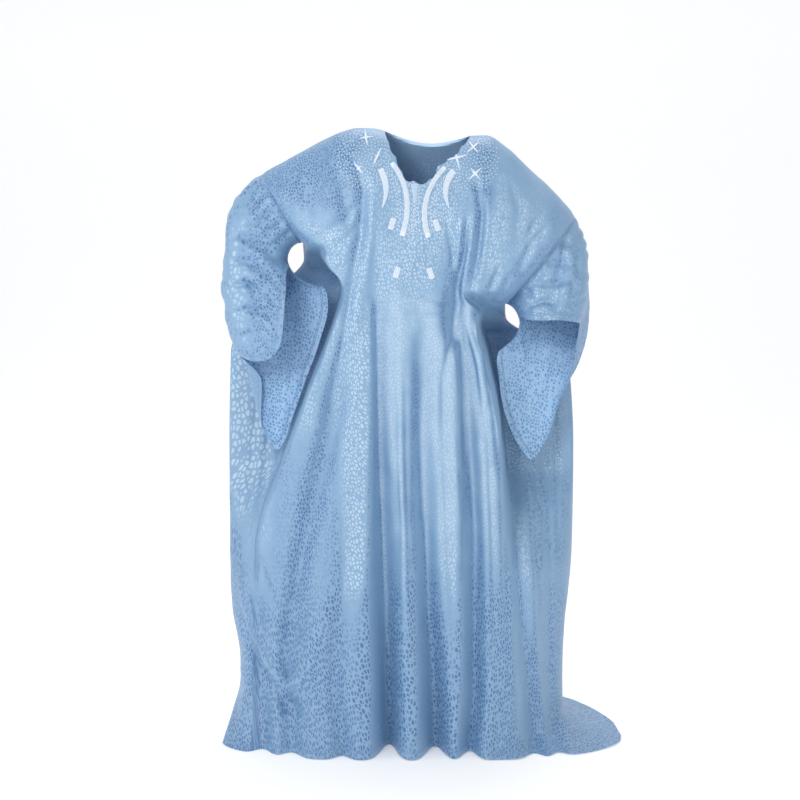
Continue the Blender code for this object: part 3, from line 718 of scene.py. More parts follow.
def add_node(
    tree: bpy.types.NodeTree, kind: str, inputs: dict | None = None, **settings: object
) -> bpy.types.Node:
    """Adds a shader node with its settings, and sets or links its inputs.

    Args:
        tree: the material's node tree.
        kind: the node's type name.
        inputs: values or output sockets, by input name or number.
        settings: the node's own properties.

    Returns:
        The new node.
    """
    node = tree.nodes.new(kind)
    for name, value in settings.items():
        setattr(node, name, value)
    for key, value in (inputs or {}).items():
        if isinstance(value, bpy.types.NodeSocket):
            tree.links.new(value, node.inputs[key])
        else:
            node.inputs[key].default_value = value
    return node


def new_material(name: str) -> tuple[bpy.types.Material, bpy.types.NodeTree, bpy.types.Node]:
    """Makes a node material and gives it with its tree and its Principled shader."""
    material = bpy.data.materials.new(name)
    material.use_nodes = True
    tree = material.node_tree
    return material, tree, tree.nodes["Principled BSDF"]


@dataclass(frozen=True)
class SatinJacquard:
    """Polyester satin jacquard, woven: glossy pebble floats on a softer twill ground.

    The floats lie square to the ground's threads. Their colour is painted light and shade: lighter
    than the ground where the cloth faces the painted light, darker where it turns away, and melting
    into it between. The reverse is duller.
    """

    name: str
    ground: str
    painted_lit_pebble: str
    painted_shade_pebble: str
    pebble_mm: float = 7.8
    broad_mm: float = 13.5
    cell_shares: tuple[float, float, float] = (0.82, 1.14, 2.6)
    cell_turn: float = 14.0
    ground_roughness: float = 0.50
    pebble_roughness: float = 0.40
    calm_level: float = 0.85
    stitch: str = "#7193BB"
    stitch_rows_mm: tuple[float, float] = (14.0, 18.5)
    stitch_half_mm: float = 0.9
    sheen: float = 0.12
    sheen_tint: str = "#9DBFE2"

    def pebbles(
        self, tree: bpy.types.NodeTree, flat: bpy.types.NodeSocket, size_mm: float
    ) -> bpy.types.NodeSocket:
        """Charts the pebbles: jittered cells, longer than wide, cut back and rounded.

        Args:
            tree: the material's node tree.
            flat: the cloth's flat coordinates, in metres.
            size_mm: a pebble's length.

        Returns:
            1 on a pebble and 0 on the ground between.
        """
        scaled = add_node(tree, "ShaderNodeMapping", {
            "Vector": flat, "Location": (0.0, 0.0, 0.5),
            "Rotation": (0.0, 0.0, math.radians(self.cell_turn)),
            "Scale": tuple(1000.0 / (size_mm * share) for share in self.cell_shares),
        })
        bend = add_node(tree, "ShaderNodeTexNoise", {
            "Vector": scaled.outputs[0], "Scale": 0.5, "Detail": 1.0,
        })
        drift = add_node(tree, "ShaderNodeVectorMath", {
            0: bend.outputs["Color"], 1: (0.8, 0.8, 0.0),
        }, operation="MULTIPLY")
        moved = add_node(tree, "ShaderNodeVectorMath", {
            0: scaled.outputs[0], 1: drift.outputs[0],
        }, operation="ADD")
        layout = {"Vector": moved.outputs[0], "Scale": 1.0, "Randomness": 0.78}
        cells = add_node(tree, "ShaderNodeTexVoronoi", layout, feature="DISTANCE_TO_EDGE")
        edge = add_node(tree, "ShaderNodeMapRange", {
            "Value": cells.outputs["Distance"], "From Min": 0.09, "From Max": 0.21,
        }, interpolation_type="SMOOTHSTEP")
        middles = add_node(tree, "ShaderNodeTexVoronoi", layout)
        disc = add_node(tree, "ShaderNodeMapRange", {
            "Value": middles.outputs["Distance"], "From Min": 0.58, "From Max": 0.42,
        }, interpolation_type="SMOOTHSTEP")
        return add_node(tree, "ShaderNodeMath", {
            0: edge.outputs["Result"], 1: disc.outputs["Result"],
        }, operation="MULTIPLY").outputs[0]

    def colour(
        self, tree: bpy.types.NodeTree, flat: bpy.types.NodeSocket, mask: bpy.types.NodeSocket
    ) -> bpy.types.NodeSocket:
        """Tints the ground and its pebbles with painted light and shade, spread as a painted sheen
        where the cloth is calm.

        Args:
            tree: the material's node tree.
            flat: the cloth's flat coordinates, in metres.
            mask: 1 on a pebble and 0 between.

        Returns:
            The cloth's colour.
        """
        # where the cloth is calm its pebbles fade, and the painted light and shade spread over it
        # as a painted sheen
        calm = add_node(tree, "ShaderNodeAttribute", attribute_name="calm")
        shown = add_node(tree, "ShaderNodeMix", {
            "Factor": calm.outputs["Fac"], 2: mask, 3: self.calm_level,
        }, data_type="FLOAT").outputs[0]
        gleam = add_node(tree, "ShaderNodeAttribute", attribute_name="gleam")
        patchy = add_node(tree, "ShaderNodeTexNoise", {
            "Vector": flat, "Scale": 16.0, "Detail": 2.0,
        })
        shift = add_node(tree, "ShaderNodeMath", {
            0: patchy.outputs["Fac"], 1: 1.1, 2: -0.55,
        }, operation="MULTIPLY_ADD")
        turned = add_node(tree, "ShaderNodeMath", {
            0: gleam.outputs["Fac"], 1: shift.outputs[0],
        }, operation="ADD")
        tint = linear(self.ground)
        # pebbles painted lighter where the painted light is positive, and darker as painted shade
        # where it is negative
        for level, pebble in ((1.0, self.painted_lit_pebble), (-1.0, self.painted_shade_pebble)):
            share = add_node(tree, "ShaderNodeMath", {
                0: turned.outputs[0], 1: level,
            }, operation="MULTIPLY", use_clamp=True)
            strength = add_node(tree, "ShaderNodeMath", {
                0: share.outputs[0], 1: shown,
            }, operation="MULTIPLY")
            tint = add_node(tree, "ShaderNodeMix", {
                "Factor": strength.outputs[0], 6: tint, 7: linear(pebble),
            }, data_type="RGBA").outputs[2]
        return tint

    def make(self) -> bpy.types.Material:
        """Makes the material on the cloth's own flat coordinates.

        Returns:
            The material, which reads the attributes "cloth", "broad" and "hem", the painted light
            and shade, and the calm painted sheen.
        """
        material, tree, shader = new_material(self.name)
        flat = add_node(tree, "ShaderNodeAttribute", attribute_name="cloth").outputs["Vector"]
        broad = add_node(tree, "ShaderNodeAttribute", attribute_name="broad")
        hem = add_node(tree, "ShaderNodeAttribute", attribute_name="hem")
        mask = add_node(tree, "ShaderNodeMix", {
            "Factor": broad.outputs["Fac"],
            2: self.pebbles(tree, flat, self.pebble_mm),
            3: self.pebbles(tree, flat, self.broad_mm),
        }, data_type="FLOAT").outputs[0]
        tint = self.colour(tree, flat, mask)
        # two rows of lockstitch along each hem, 1.8 mm wide where the thread is 0.4 mm
        rows = [add_node(tree, "ShaderNodeMath", {
            0: hem.outputs["Fac"], 1: place, 2: self.stitch_half_mm,
        }, operation="COMPARE").outputs[0] for place in self.stitch_rows_mm]
        stitched = add_node(tree, "ShaderNodeMath", {
            0: rows[0], 1: rows[1],
        }, operation="MAXIMUM").outputs[0]
        thread = add_node(tree, "ShaderNodeMix", {
            "Factor": stitched, 6: tint, 7: linear(self.stitch),
        }, data_type="RGBA")
        tree.links.new(thread.outputs[2], shader.inputs["Base Color"])
        gloss = add_node(tree, "ShaderNodeMapRange", {
            "Value": mask, "To Min": self.ground_roughness, "To Max": self.pebble_roughness,
        })
        tree.links.new(gloss.outputs["Result"], shader.inputs["Roughness"])
        # twill of the ground, drawn about 3 mm wide where the threads are 0.3 mm apart
        twill = add_node(tree, "ShaderNodeTexWave", {
            "Vector": flat, "Scale": 98.0, "Distortion": 0.8, "Detail": 1.0,
        }, bands_direction="DIAGONAL")
        quiet = add_node(tree, "ShaderNodeMath", {
            0: twill.outputs["Fac"], 1: 0.22,
        }, operation="MULTIPLY")
        relief = add_node(tree, "ShaderNodeMath", {
            0: quiet.outputs[0], 1: mask,
        }, operation="ADD")
        bump = add_node(tree, "ShaderNodeBump", {
            "Height": relief.outputs[0], "Strength": 0.35, "Distance": 0.0004,
        })
        sewn = add_node(tree, "ShaderNodeBump", {
            "Height": stitched, "Strength": 0.5, "Distance": 0.0006, "Normal": bump.outputs[0],
        }, invert=True)
        tree.links.new(sewn.outputs[0], shader.inputs["Normal"])
        shader.inputs["Sheen Weight"].default_value = self.sheen
        shader.inputs["Sheen Tint"].default_value = linear(self.sheen_tint)
        shader.inputs["Sheen Roughness"].default_value = 0.45
        shader.inputs["Specular IOR Level"].default_value = 0.7
        shader.inputs["IOR"].default_value = 1.5
        return material


@dataclass(frozen=True)
class SatinStitch:
    """White rayon embroidery in satin stitch: close shining threads across each bar."""

    name: str = "rayon_satin_stitch_white"
    colour: str = "#F1F6FB"
    shade: str = "#C4D6E8"
    thread_mm: float = 1.3

    def make(self) -> bpy.types.Material:
        """Makes the thread material, with ribs across the bar's own UV map."""
        material, tree, shader = new_material(self.name)
        flat = add_node(tree, "ShaderNodeUVMap", uv_map="flat").outputs["UV"]
        ribs = add_node(tree, "ShaderNodeTexWave", {
            "Vector": flat, "Scale": 157.0 / self.thread_mm, "Distortion": 1.2, "Detail": 2.0,
        }, bands_direction="Y")
        colour = add_node(tree, "ShaderNodeMix", {
            "Factor": ribs.outputs["Fac"], 6: linear(self.shade), 7: linear(self.colour),
        }, data_type="RGBA")
        tree.links.new(colour.outputs[2], shader.inputs["Base Color"])
        bump = add_node(tree, "ShaderNodeBump", {
            "Height": ribs.outputs["Fac"], "Strength": 0.6, "Distance": 0.0005,
        })
        tree.links.new(bump.outputs[0], shader.inputs["Normal"])
        shader.inputs["Roughness"].default_value = 0.42
        shader.inputs["Sheen Weight"].default_value = 0.3
        return material


@dataclass(frozen=True)
class CutGlass:
    """Foiled glass rhinestones, pressed: bright facets that flash white."""

    name: str = "foiled_glass_rhinestone"
    colour: str = "#EEF4FB"

    def make(self) -> bpy.types.Material:
        """Makes the stones' material, with small differences from stone to stone."""
        material, tree, shader = new_material(self.name)
        place = add_node(tree, "ShaderNodeTexCoord").outputs["Object"]
        noise = add_node(tree, "ShaderNodeTexNoise", {"Vector": place, "Scale": 260.0})
        colour = add_node(tree, "ShaderNodeMix", {
            "Factor": noise.outputs["Fac"], 6: linear("#CFE0F2"), 7: linear(self.colour),
        }, data_type="RGBA")
        tree.links.new(colour.outputs[2], shader.inputs["Base Color"])
        shader.inputs["Roughness"].default_value = 0.12
        shader.inputs["Coat Weight"].default_value = 0.6
        shader.inputs["Coat Roughness"].default_value = 0.05
        return material


class ClothShell:
    """A closed thin shell on both sides of a grid of points, with flat coordinates."""

    def __init__(self, name: str, points: np.ndarray, normals: np.ndarray, closed: bool) -> None:
        """Keeps the middle surface and its outward normals."""
        self.name = name
        self.points = points
        self.normals = normals
        self.closed = closed

    def area(self) -> float:
        """Adds up the cloth's area from its cells' diagonals."""
        grid = self.points
        if self.closed:
            grid = np.concatenate((grid, grid[:, :1]), axis=1)
        first = grid[1:, 1:] - grid[:-1, :-1]
        second = grid[1:, :-1] - grid[:-1, 1:]
        return float(np.linalg.norm(np.cross(first, second), axis=-1).sum() / 2.0)

    def flat_coordinates(self, grid: np.ndarray, middle: int, start_row: int) -> np.ndarray:
        """Unrolls the cloth: lengths along each row from one column, and down from one row.

        Args:
            grid: the cloth's points, before its small creases.
            middle: the column whose u is 0.
            start_row: the row whose v is 0.

        Returns:
            u and v in metres, with one more column than the grid where it is closed.
        """
        if self.closed:
            grid = np.concatenate((grid, grid[:, :1]), axis=1)
        u, v = run_along(grid, 1), run_along(grid, 0)
        u = u - u[:, middle:middle + 1]
        v = v - v[start_row:start_row + 1]
        return np.stack((u, v), axis=-1)

    def build(
        self, flat: np.ndarray, fields: dict[str, np.ndarray], looks: tuple[bpy.types.Material, ...]
    ) -> bpy.types.Object:
        """Makes the shell's object.

        Args:
            flat: u and v of each point.
            fields: point attributes by name, of the grid's shape, of one or three numbers each.
            looks: the materials of the outside and the reverse.

        Returns:
            The object, with the outside in material slot 0 and the reverse in slot 1.
        """
        rows, columns = self.points.shape[:2]
        outer = (self.points + self.normals * CLOTH_THICKNESS / 2.0).reshape(-1, 3)
        inner = (self.points - self.normals * CLOTH_THICKNESS / 2.0).reshape(-1, 3)
        count = rows * columns
        quads, row, place = grid_cells(rows, columns, self.closed)
        uv = flat[row, place]
        corner = self.points.reshape(-1, 3)[quads]
        facing = np.cross(corner[:, 2] - corner[:, 0], corner[:, 3] - corner[:, 1])
        if np.sum(facing * self.normals.reshape(-1, 3)[quads[:, 0]]) < 0.0:
            quads, uv = quads[:, ::-1], uv[:, ::-1]
        rim_quads, rim_uv = self.rim(quads, uv, count)
        faces = np.concatenate((quads, count + quads[:, ::-1], rim_quads))
        corner_uv = np.concatenate((uv, uv[:, ::-1], rim_uv)).reshape(-1, 2)
        mesh = bpy.data.meshes.new(self.name)
        mesh.from_pydata(np.concatenate((outer, inner)).tolist(), [], faces.tolist())
        mesh.uv_layers.new(name="flat").uv.foreach_set("vector", corner_uv.ravel())
        for name, values in fields.items():
            both = np.tile(values.ravel(), 2).astype(np.float32)
            if values.ndim == 3:
                mesh.attributes.new(name, "FLOAT_VECTOR", "POINT").data.foreach_set("vector", both)
            else:
                mesh.attributes.new(name, "FLOAT", "POINT").data.foreach_set("value", both)
        slots = np.zeros(len(faces), dtype=np.int32)
        slots[len(quads):2 * len(quads)] = 1
        mesh.polygons.foreach_set("material_index", slots)
        mesh.polygons.foreach_set("use_smooth", np.ones(len(faces), dtype=bool))
        mesh.update()
        mesh.set_sharp_from_angle(angle=math.radians(62.0))
        for material in looks:
            mesh.materials.append(material)
        return link(self.name, mesh)

    @staticmethod
    def rim(quads: np.ndarray, uv: np.ndarray, count: int) -> tuple[np.ndarray, np.ndarray]:
        """Closes the free edges with quads between the two sides.

        Args:
            quads: the outer faces.
            uv: their corners' flat coordinates.
            count: how many points one side has.

        Returns:
            The rim's quads and their flat coordinates.
        """
        start = quads.ravel()
        end = np.roll(quads, -1, axis=1).ravel()
        start_uv = uv.reshape(-1, 2)
        end_uv = np.roll(uv, -1, axis=1).reshape(-1, 2)
        size = 2 * count
        free = ~np.isin(start * size + end, end * size + start)
        start, end, start_uv, end_uv = start[free], end[free], start_uv[free], end_uv[free]
        rim_quads = np.stack((end, start, count + start, count + end), axis=-1)
        return rim_quads, np.stack((end_uv, start_uv, start_uv, end_uv), axis=1)


def dress(item: bpy.types.Object, node: str) -> None:
    """Lets a finished piece ride on the dress in place of its solid."""
    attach(item, "root")
    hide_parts(node)


@dataclass
class BodyPanel:
    """The front or the back of the dress, from the shoulder seams to the floor."""

    side: Side
    face: bpy.types.Material
    reverse: bpy.types.Material
    flat_size: tuple[float, float]
    flat_area: float
    smooth: np.ndarray = field(init=False)
    points: np.ndarray = field(init=False)
    normals: np.ndarray = field(init=False)

    @property
    def rear(self) -> bool:
        """True for the back."""
        return self.side is Side.BACK

    @property
    def guides(self) -> tuple[Guide, ...]:
        """The panel's fold lines."""
        return BACK_GUIDES if self.rear else FRONT_GUIDES

    @property
    def neck_grid(self) -> tuple[int, int]:
        """The neckline's cells and the fine cells in each of them."""
        if self.rear:
            return BACK_NECK_CELLS, BACK_NECK_SPLIT
        return FRONT_NECK_CELLS, FRONT_NECK_SPLIT

    def columns(self) -> np.ndarray:
        """Numbers the fine columns in cells of the solid's grid."""
        cells = (LEFT_SHOULDER_CELLS, self.neck_grid[0], RIGHT_SHOULDER_CELLS)
        splits = (SHOULDER_SPLIT, self.neck_grid[1], SHOULDER_SPLIT)
        ends = np.cumsum((0, *cells))
        left, neck, right = (
            np.linspace(start, start + count, count * split + 1)
            for start, count, split in zip(ends, cells, splits)
        )
        return np.concatenate((left, neck[1:-1], right))

    def top_edge(self) -> tuple[np.ndarray, np.ndarray, slice]:
        """Gives x and z along the shoulders and the neckline, and the neckline's columns."""
        left_count = LEFT_SHOULDER_CELLS * SHOULDER_SPLIT
        neck_count = math.prod(self.neck_grid)
        right_count = RIGHT_SHOULDER_CELLS * SHOULDER_SPLIT
        left_x = np.linspace(LEFT_SHOULDER[0].x, LEFT_SHOULDER[-1].x, left_count + 1)
        right_x = np.linspace(RIGHT_SHOULDER[0].x, RIGHT_SHOULDER[-1].x, right_count + 1)
        share = np.linspace(0.0, 1.0, neck_count + 1)
        neck_x = FRONT_NECK[0].x + (FRONT_NECK[-1].x - FRONT_NECK[0].x) * share
        if self.rear:
            ends = FRONT_NECK[0].z + (FRONT_NECK[-1].z - FRONT_NECK[0].z) * share
            neck_z = ends - NECK_REAR_DROP * np.sin(np.pi * share)
        else:
            neck_z = along(neck_x, FRONT_NECK, "x", "z")
            way = np.stack((np.gradient(neck_x), np.gradient(neck_z)), axis=-1)
            steps = np.linalg.norm(way, axis=-1, keepdims=True)
            run = np.cumsum(steps) / np.sum(steps)
            scallop = SCALLOP_HEIGHT * np.abs(np.sin(np.pi * SCALLOPS * run))
            scallop = scallop * np.sin(np.pi * share) ** 0.5
            neck_x = neck_x + scallop * (way / steps)[:, 1]
            neck_z = neck_z - scallop * (way / steps)[:, 0]
        left_z = along(left_x, LEFT_SHOULDER, "x", "z")
        right_z = along(right_x, RIGHT_SHOULDER, "x", "z")
        x = np.concatenate((left_x, neck_x[1:-1], right_x))
        z = np.concatenate((left_z, neck_z[1:-1], right_z))
        return x, z, slice(left_count, left_count + neck_count + 1)

    def fold_depth(self, x: np.ndarray, z: np.ndarray) -> np.ndarray:
        """Adds up the large valleys: each is a bell across its guide line, deeper to the hem."""
        total = np.zeros_like(x)
        for guide in self.guides:
            fall = np.clip((guide.first_z - z) / (DRESS_LENGTH + guide.first_z), 0.0, 1.0)
            depth = guide.upper_depth * smooth_step(fall * 4.0)
            depth = depth + (guide.hem_depth - guide.upper_depth) * fall ** 1.5
            line = through(z, np.array(GUIDE_HEIGHTS), np.array(guide.x))
            total += depth * np.exp(-(((x - line) / guide.width) ** 2))
        return total

    def stops(self) -> np.ndarray:
        """Gives the column number of the left seam, each guide and the right seam."""
        last = BACK_LAST_CELLS if self.rear else FRONT_LAST_CELLS
        return np.cumsum([0] + [guide.cells_before for guide in self.guides] + [last])

    def turn_back(self, columns: np.ndarray, z: np.ndarray) -> np.ndarray:
        """Gives how far the front turns back behind the sleeves, as a share of its depth."""
        names = [guide.name for guide in FRONT_GUIDES]
        place = {name: stop for name, stop in zip(names, self.stops()[1:])}
        left_step = (place["left_ridge"] - columns) / (place["left_ridge"] - place["left_foot"])
        right_step = (columns - place["right_ridge"]) / (place["right_foot"] - place["right_ridge"])
        left = along(z, LEFT_TURN, "z", "share") * smooth_step(left_step)
        return left + along(z, RIGHT_TURN, "z", "share") * smooth_step(right_step)

    def form(self) -> np.ndarray:
        """Works out the middle surface, rows from the shoulders to the hem.

        The yoke runs straight from the shoulder line to the underarm line. Below it each row is
        spread between the side seams, with its columns on the fold lines. The depth rises from
        the seams as a rounded bulge and the folds are taken out of it.

        Returns:
            Points of shape (rows, columns, 3).
        """
        top_x, top_z, neck = self.top_edge()
        columns = self.columns()
        u = columns / columns[-1]
        fall = armhole_shares(np.linspace(0.0, 1.0, YOKE_ROWS + 1))[:, None]
        left, right = LEFT_SEAM[0], RIGHT_SEAM[0]
        yoke_x = top_x + (left.x + (right.x - left.x) * u - top_x) * fall
        yoke_z = top_z + (left.z + (right.z - left.z) * u - top_z) * fall
        sign = 1.0 if self.rear else -1.0
        yoke_edge = sign * ARMHOLE_DEPTH * np.sqrt(4.0 * fall * (1.0 - fall)) * np.ones(len(u))

        coarse = np.arange(len(SKIRT_ROWS), dtype=float)
        fine = np.linspace(0.0, coarse[-1], (len(SKIRT_ROWS) - 1) * SKIRT_SPLIT + 1)[1:]
        drop = through(fine, coarse, np.array(SKIRT_ROWS))[:, None]
        left_z = left.z + (LEFT_SEAM[-1].z - left.z) * drop
        right_z = right.z + (RIGHT_SEAM[-1].z - right.z) * drop
        left_x, right_x = along(left_z, LEFT_SEAM, "z", "x"), along(right_z, RIGHT_SEAM, "z", "x")
        left_y, right_y = along(left_z, LEFT_SEAM, "z", "y"), along(right_z, RIGHT_SEAM, "z", "y")
        skirt_z = left_z + (right_z - left_z) * u
        stops = self.stops()
        even_x = left_x + (right_x - left_x) * u
        guided_x = np.empty_like(even_x)
        for row in range(len(drop)):
            heights = np.interp(stops[1:-1], columns, skirt_z[row])
            lines = [
                float(through(height, np.array(GUIDE_HEIGHTS), np.array(guide.x)))
                for guide, height in zip(self.guides, heights)
            ]
            guided_x[row] = np.interp(columns, stops, [left_x[row, 0], *lines, right_x[row, 0]])
        skirt_x = even_x + (guided_x - even_x) * smooth_step(drop / GUIDE_BLEND)
        skirt_edge = left_y + (right_y - left_y) * u

        x = np.concatenate((yoke_x, skirt_x))
        z = np.concatenate((yoke_z, skirt_z))
        edge = np.concatenate((yoke_edge, skirt_edge))
        reach = np.minimum(x - x[:, :1], x[:, -1:] - x)
        inside = np.clip(reach / along(z, BODY_DEPTHS, "z", "rounding"), 0.0, 1.0)
        bulge = (1.0 - (1.0 - inside) ** SIDE_POWER) ** (1.0 / SIDE_POWER)
        across = (2.0 * x - x[:, :1] - x[:, -1:]) / (x[:, -1:] - x[:, :1])
        bulge = bulge * (1.0 - CENTRE_FLATNESS * across ** 2)
        folds = self.fold_depth(x, z) * smooth_step(reach / 0.06)
        ridge = along(x, LEFT_SHOULDER + RIGHT_SHOULDER, "x", "z")
        round_over = np.clip((ridge - z) / SHOULDER_ROUNDING, 0.0, 1.0)
        full = along(z, BODY_DEPTHS, "z", self.side.value)
        depth = full * (1.0 - (1.0 - round_over) ** SHOULDER_POWER) ** (1.0 / SHOULDER_POWER)
        if self.rear:
            y = edge * (1.0 - bulge) + depth * bulge - folds
            share = np.linspace(0.0, 1.0, neck.stop - neck.start)
            lift = NECK_REAR_DEPTH * np.sin(np.pi * share) ** 0.6
            settle = smooth_step(1.0 - np.arange(len(y)) / (2.0 * YOKE_SPLIT))[:, None]
            y[:, neck] = np.maximum(y[:, neck], lift * settle)
        else:
            bulge = bulge * (1.0 - self.turn_back(columns, z))
            y = edge * (1.0 - bulge) - depth * bulge + folds
            near_hem = smooth_step((z + DRESS_LENGTH + 0.30) / -0.30 + 1.0)
            z = z + HEM_NOTCH_LIFT * np.clip((folds - 0.045) / 0.05, 0.0, 1.0) * near_hem
        return np.stack((x, y, z), axis=-1)

    def seam_fade(self, width: float) -> np.ndarray:
        """Gives 0 on the seams and the neckline and 1 a width inside them."""
        sides = np.minimum(run_along(self.points, 1), run_along(self.points, 1, from_end=True))
        return smooth_step(np.minimum(sides, run_along(self.points, 0)) / width)

    def set_normals(self) -> None:
        """Works out the normals, turned away from the inside of the dress."""
        self.normals = surface_normals(self.points, False)
        if (np.sum(self.normals[..., 1]) < 0.0) == self.rear:
            self.normals = -self.normals

    def shape(self) -> None:
        """Works out the panel's points and normals, with its creases pressed in."""
        self.smooth = self.form()
        self.points = self.smooth
        self.set_normals()
        x, z = self.points[..., 0], self.points[..., 2]
        creases = BACK_CREASES if self.rear else FRONT_CREASES
        seed = 40 if self.rear else 20
        drape = value_noise(x + 0.2 * z, z * 0.22, 0.045, seed) * 0.0022
        drape = drape + value_noise(x, z * 0.5, 0.020, seed + 1) * 0.0008
        sink = (crease_depth(creases, x, z) + drape) * self.seam_fade(SEAM_EASE)
        run = run_along(self.points, 1)
        for depth, way in ((SEAM_GROOVE_RIGHT, run), (SEAM_GROOVE_LEFT, run[:, -1:] - run)):
            sink = sink + depth * np.exp(-((way / SEAM_REACH) ** 2))
        self.points = self.points - self.normals * sink[..., None]
        self.set_normals()

    def pattern(self, flat: np.ndarray) -> np.ndarray:
        """Gives the pattern's own coordinates, in which the pebbles grow towards the hem.

        Over the yoke they follow x and the way down it. Below, they advance less with each step
        down, and are drawn together about the middle and about both sides, so they don't slant.

        Args:
            flat: the cloth's flat coordinates.

        Returns:
            Three numbers a point, in metres, of which the last is 0.
        """
        u, v = flat[..., 0].copy(), flat[..., 1].copy()
        yoke = self.smooth[:YOKE_ROWS + 1]
        u[:YOKE_ROWS] = u[YOKE_ROWS] + yoke[:-1, :, 0] - yoke[-1, :, 0]
        v[:YOKE_ROWS] = -run_along(yoke[..., 1:], 0, from_end=True)[:-1]
        pace = 1.0 - 0.30 * smooth_step((v - 0.45) / 0.50)
        anchor = 0.50 * smooth_step((u - 0.22) / 0.36) - 0.66 * smooth_step((-u - 0.22) / 0.44)
        advance = np.cumsum(np.diff(v, axis=0, prepend=v[:1]) * pace, axis=0) + v[:1]
        return np.stack((anchor + (u - anchor) * pace, advance, np.zeros_like(pace)), axis=-1)

    def looks(self, flat: np.ndarray) -> dict[str, np.ndarray]:
        """Says where the pebbles are broad, where they are painted light or dark, and where a
        painted sheen calms them.

        Args:
            flat: the cloth's flat coordinates.

        Returns:
            The fields that the material reads, by name.
        """
        x, z = self.points[..., 0], self.points[..., 2]
        yoke = all_of(YOKE_RAMPS, x, z)
        broad = all_of(BROAD_RAMPS, x, z, z) + 0.4 * yoke
        shoulders = all_of(SHOULDER_RAMPS, z, np.abs(x)) * (1.0 - yoke)
        edge = LOW_EDGE + 0.18 * LOW_EDGE_SIDE.at(x) + 0.10 * value_noise(x, z * 0.25, 0.07, 93)
        low = smooth_step((edge - z) / LOW_WIDTH)
        lap = all_of(LAP_RAMPS, x, x, z)
        crest = sum(np.exp(-(((x - line) / width) ** 2)) for line, width in CREST_LINES)
        crest = crest * all_of(CREST_RAMPS, z, z)
        # painted light and shade on the pebbles: lighter on the crests and broad parts, darker on
        # the lap, the shoulders and the low skirt
        lean = 0.1 * yoke + 0.5 * crest - 1.3 * lap - 2.2 * shoulders - 1.9 * low + 0.5 * broad
        rear = np.full_like(x, 1.0 if self.rear else -1.0)
        return {
            "hem": run_along(self.points, 0, from_end=True) * 1000.0,
            "broad": broad,
            "gleam": painted_gleam_field(self.normals, x, z, rear, lean),
            "calm": CALM_SHARE * all_of(CALM_RAMPS, np.abs(x - CALM_MIDDLE), z, z),
            "cloth": self.pattern(flat),
        }

    def dress(self) -> bpy.types.Object:
        shell = ClothShell(f"{self.side.value}_panel", self.points, self.normals, False)
        neck = self.top_edge()[2]
        flat = shell.flat_coordinates(self.smooth, (neck.start + neck.stop) // 2, YOKE_ROWS)
        item = shell.build(flat, self.looks(flat), (self.face, self.reverse))
        dress(item, f"body_{self.side.value}")
        LOG.info("%s: %d faces, %.2f m2 of cloth", item.name, len(item.data.polygons), shell.area())
        return item


def armhole_shares(steps: np.ndarray) -> np.ndarray:
    """Spaces rows down the armhole, closest at the shoulder."""
    return 0.35 * (1.0 - np.cos(np.pi * steps)) / 2.0 + 0.65 * steps ** 1.25


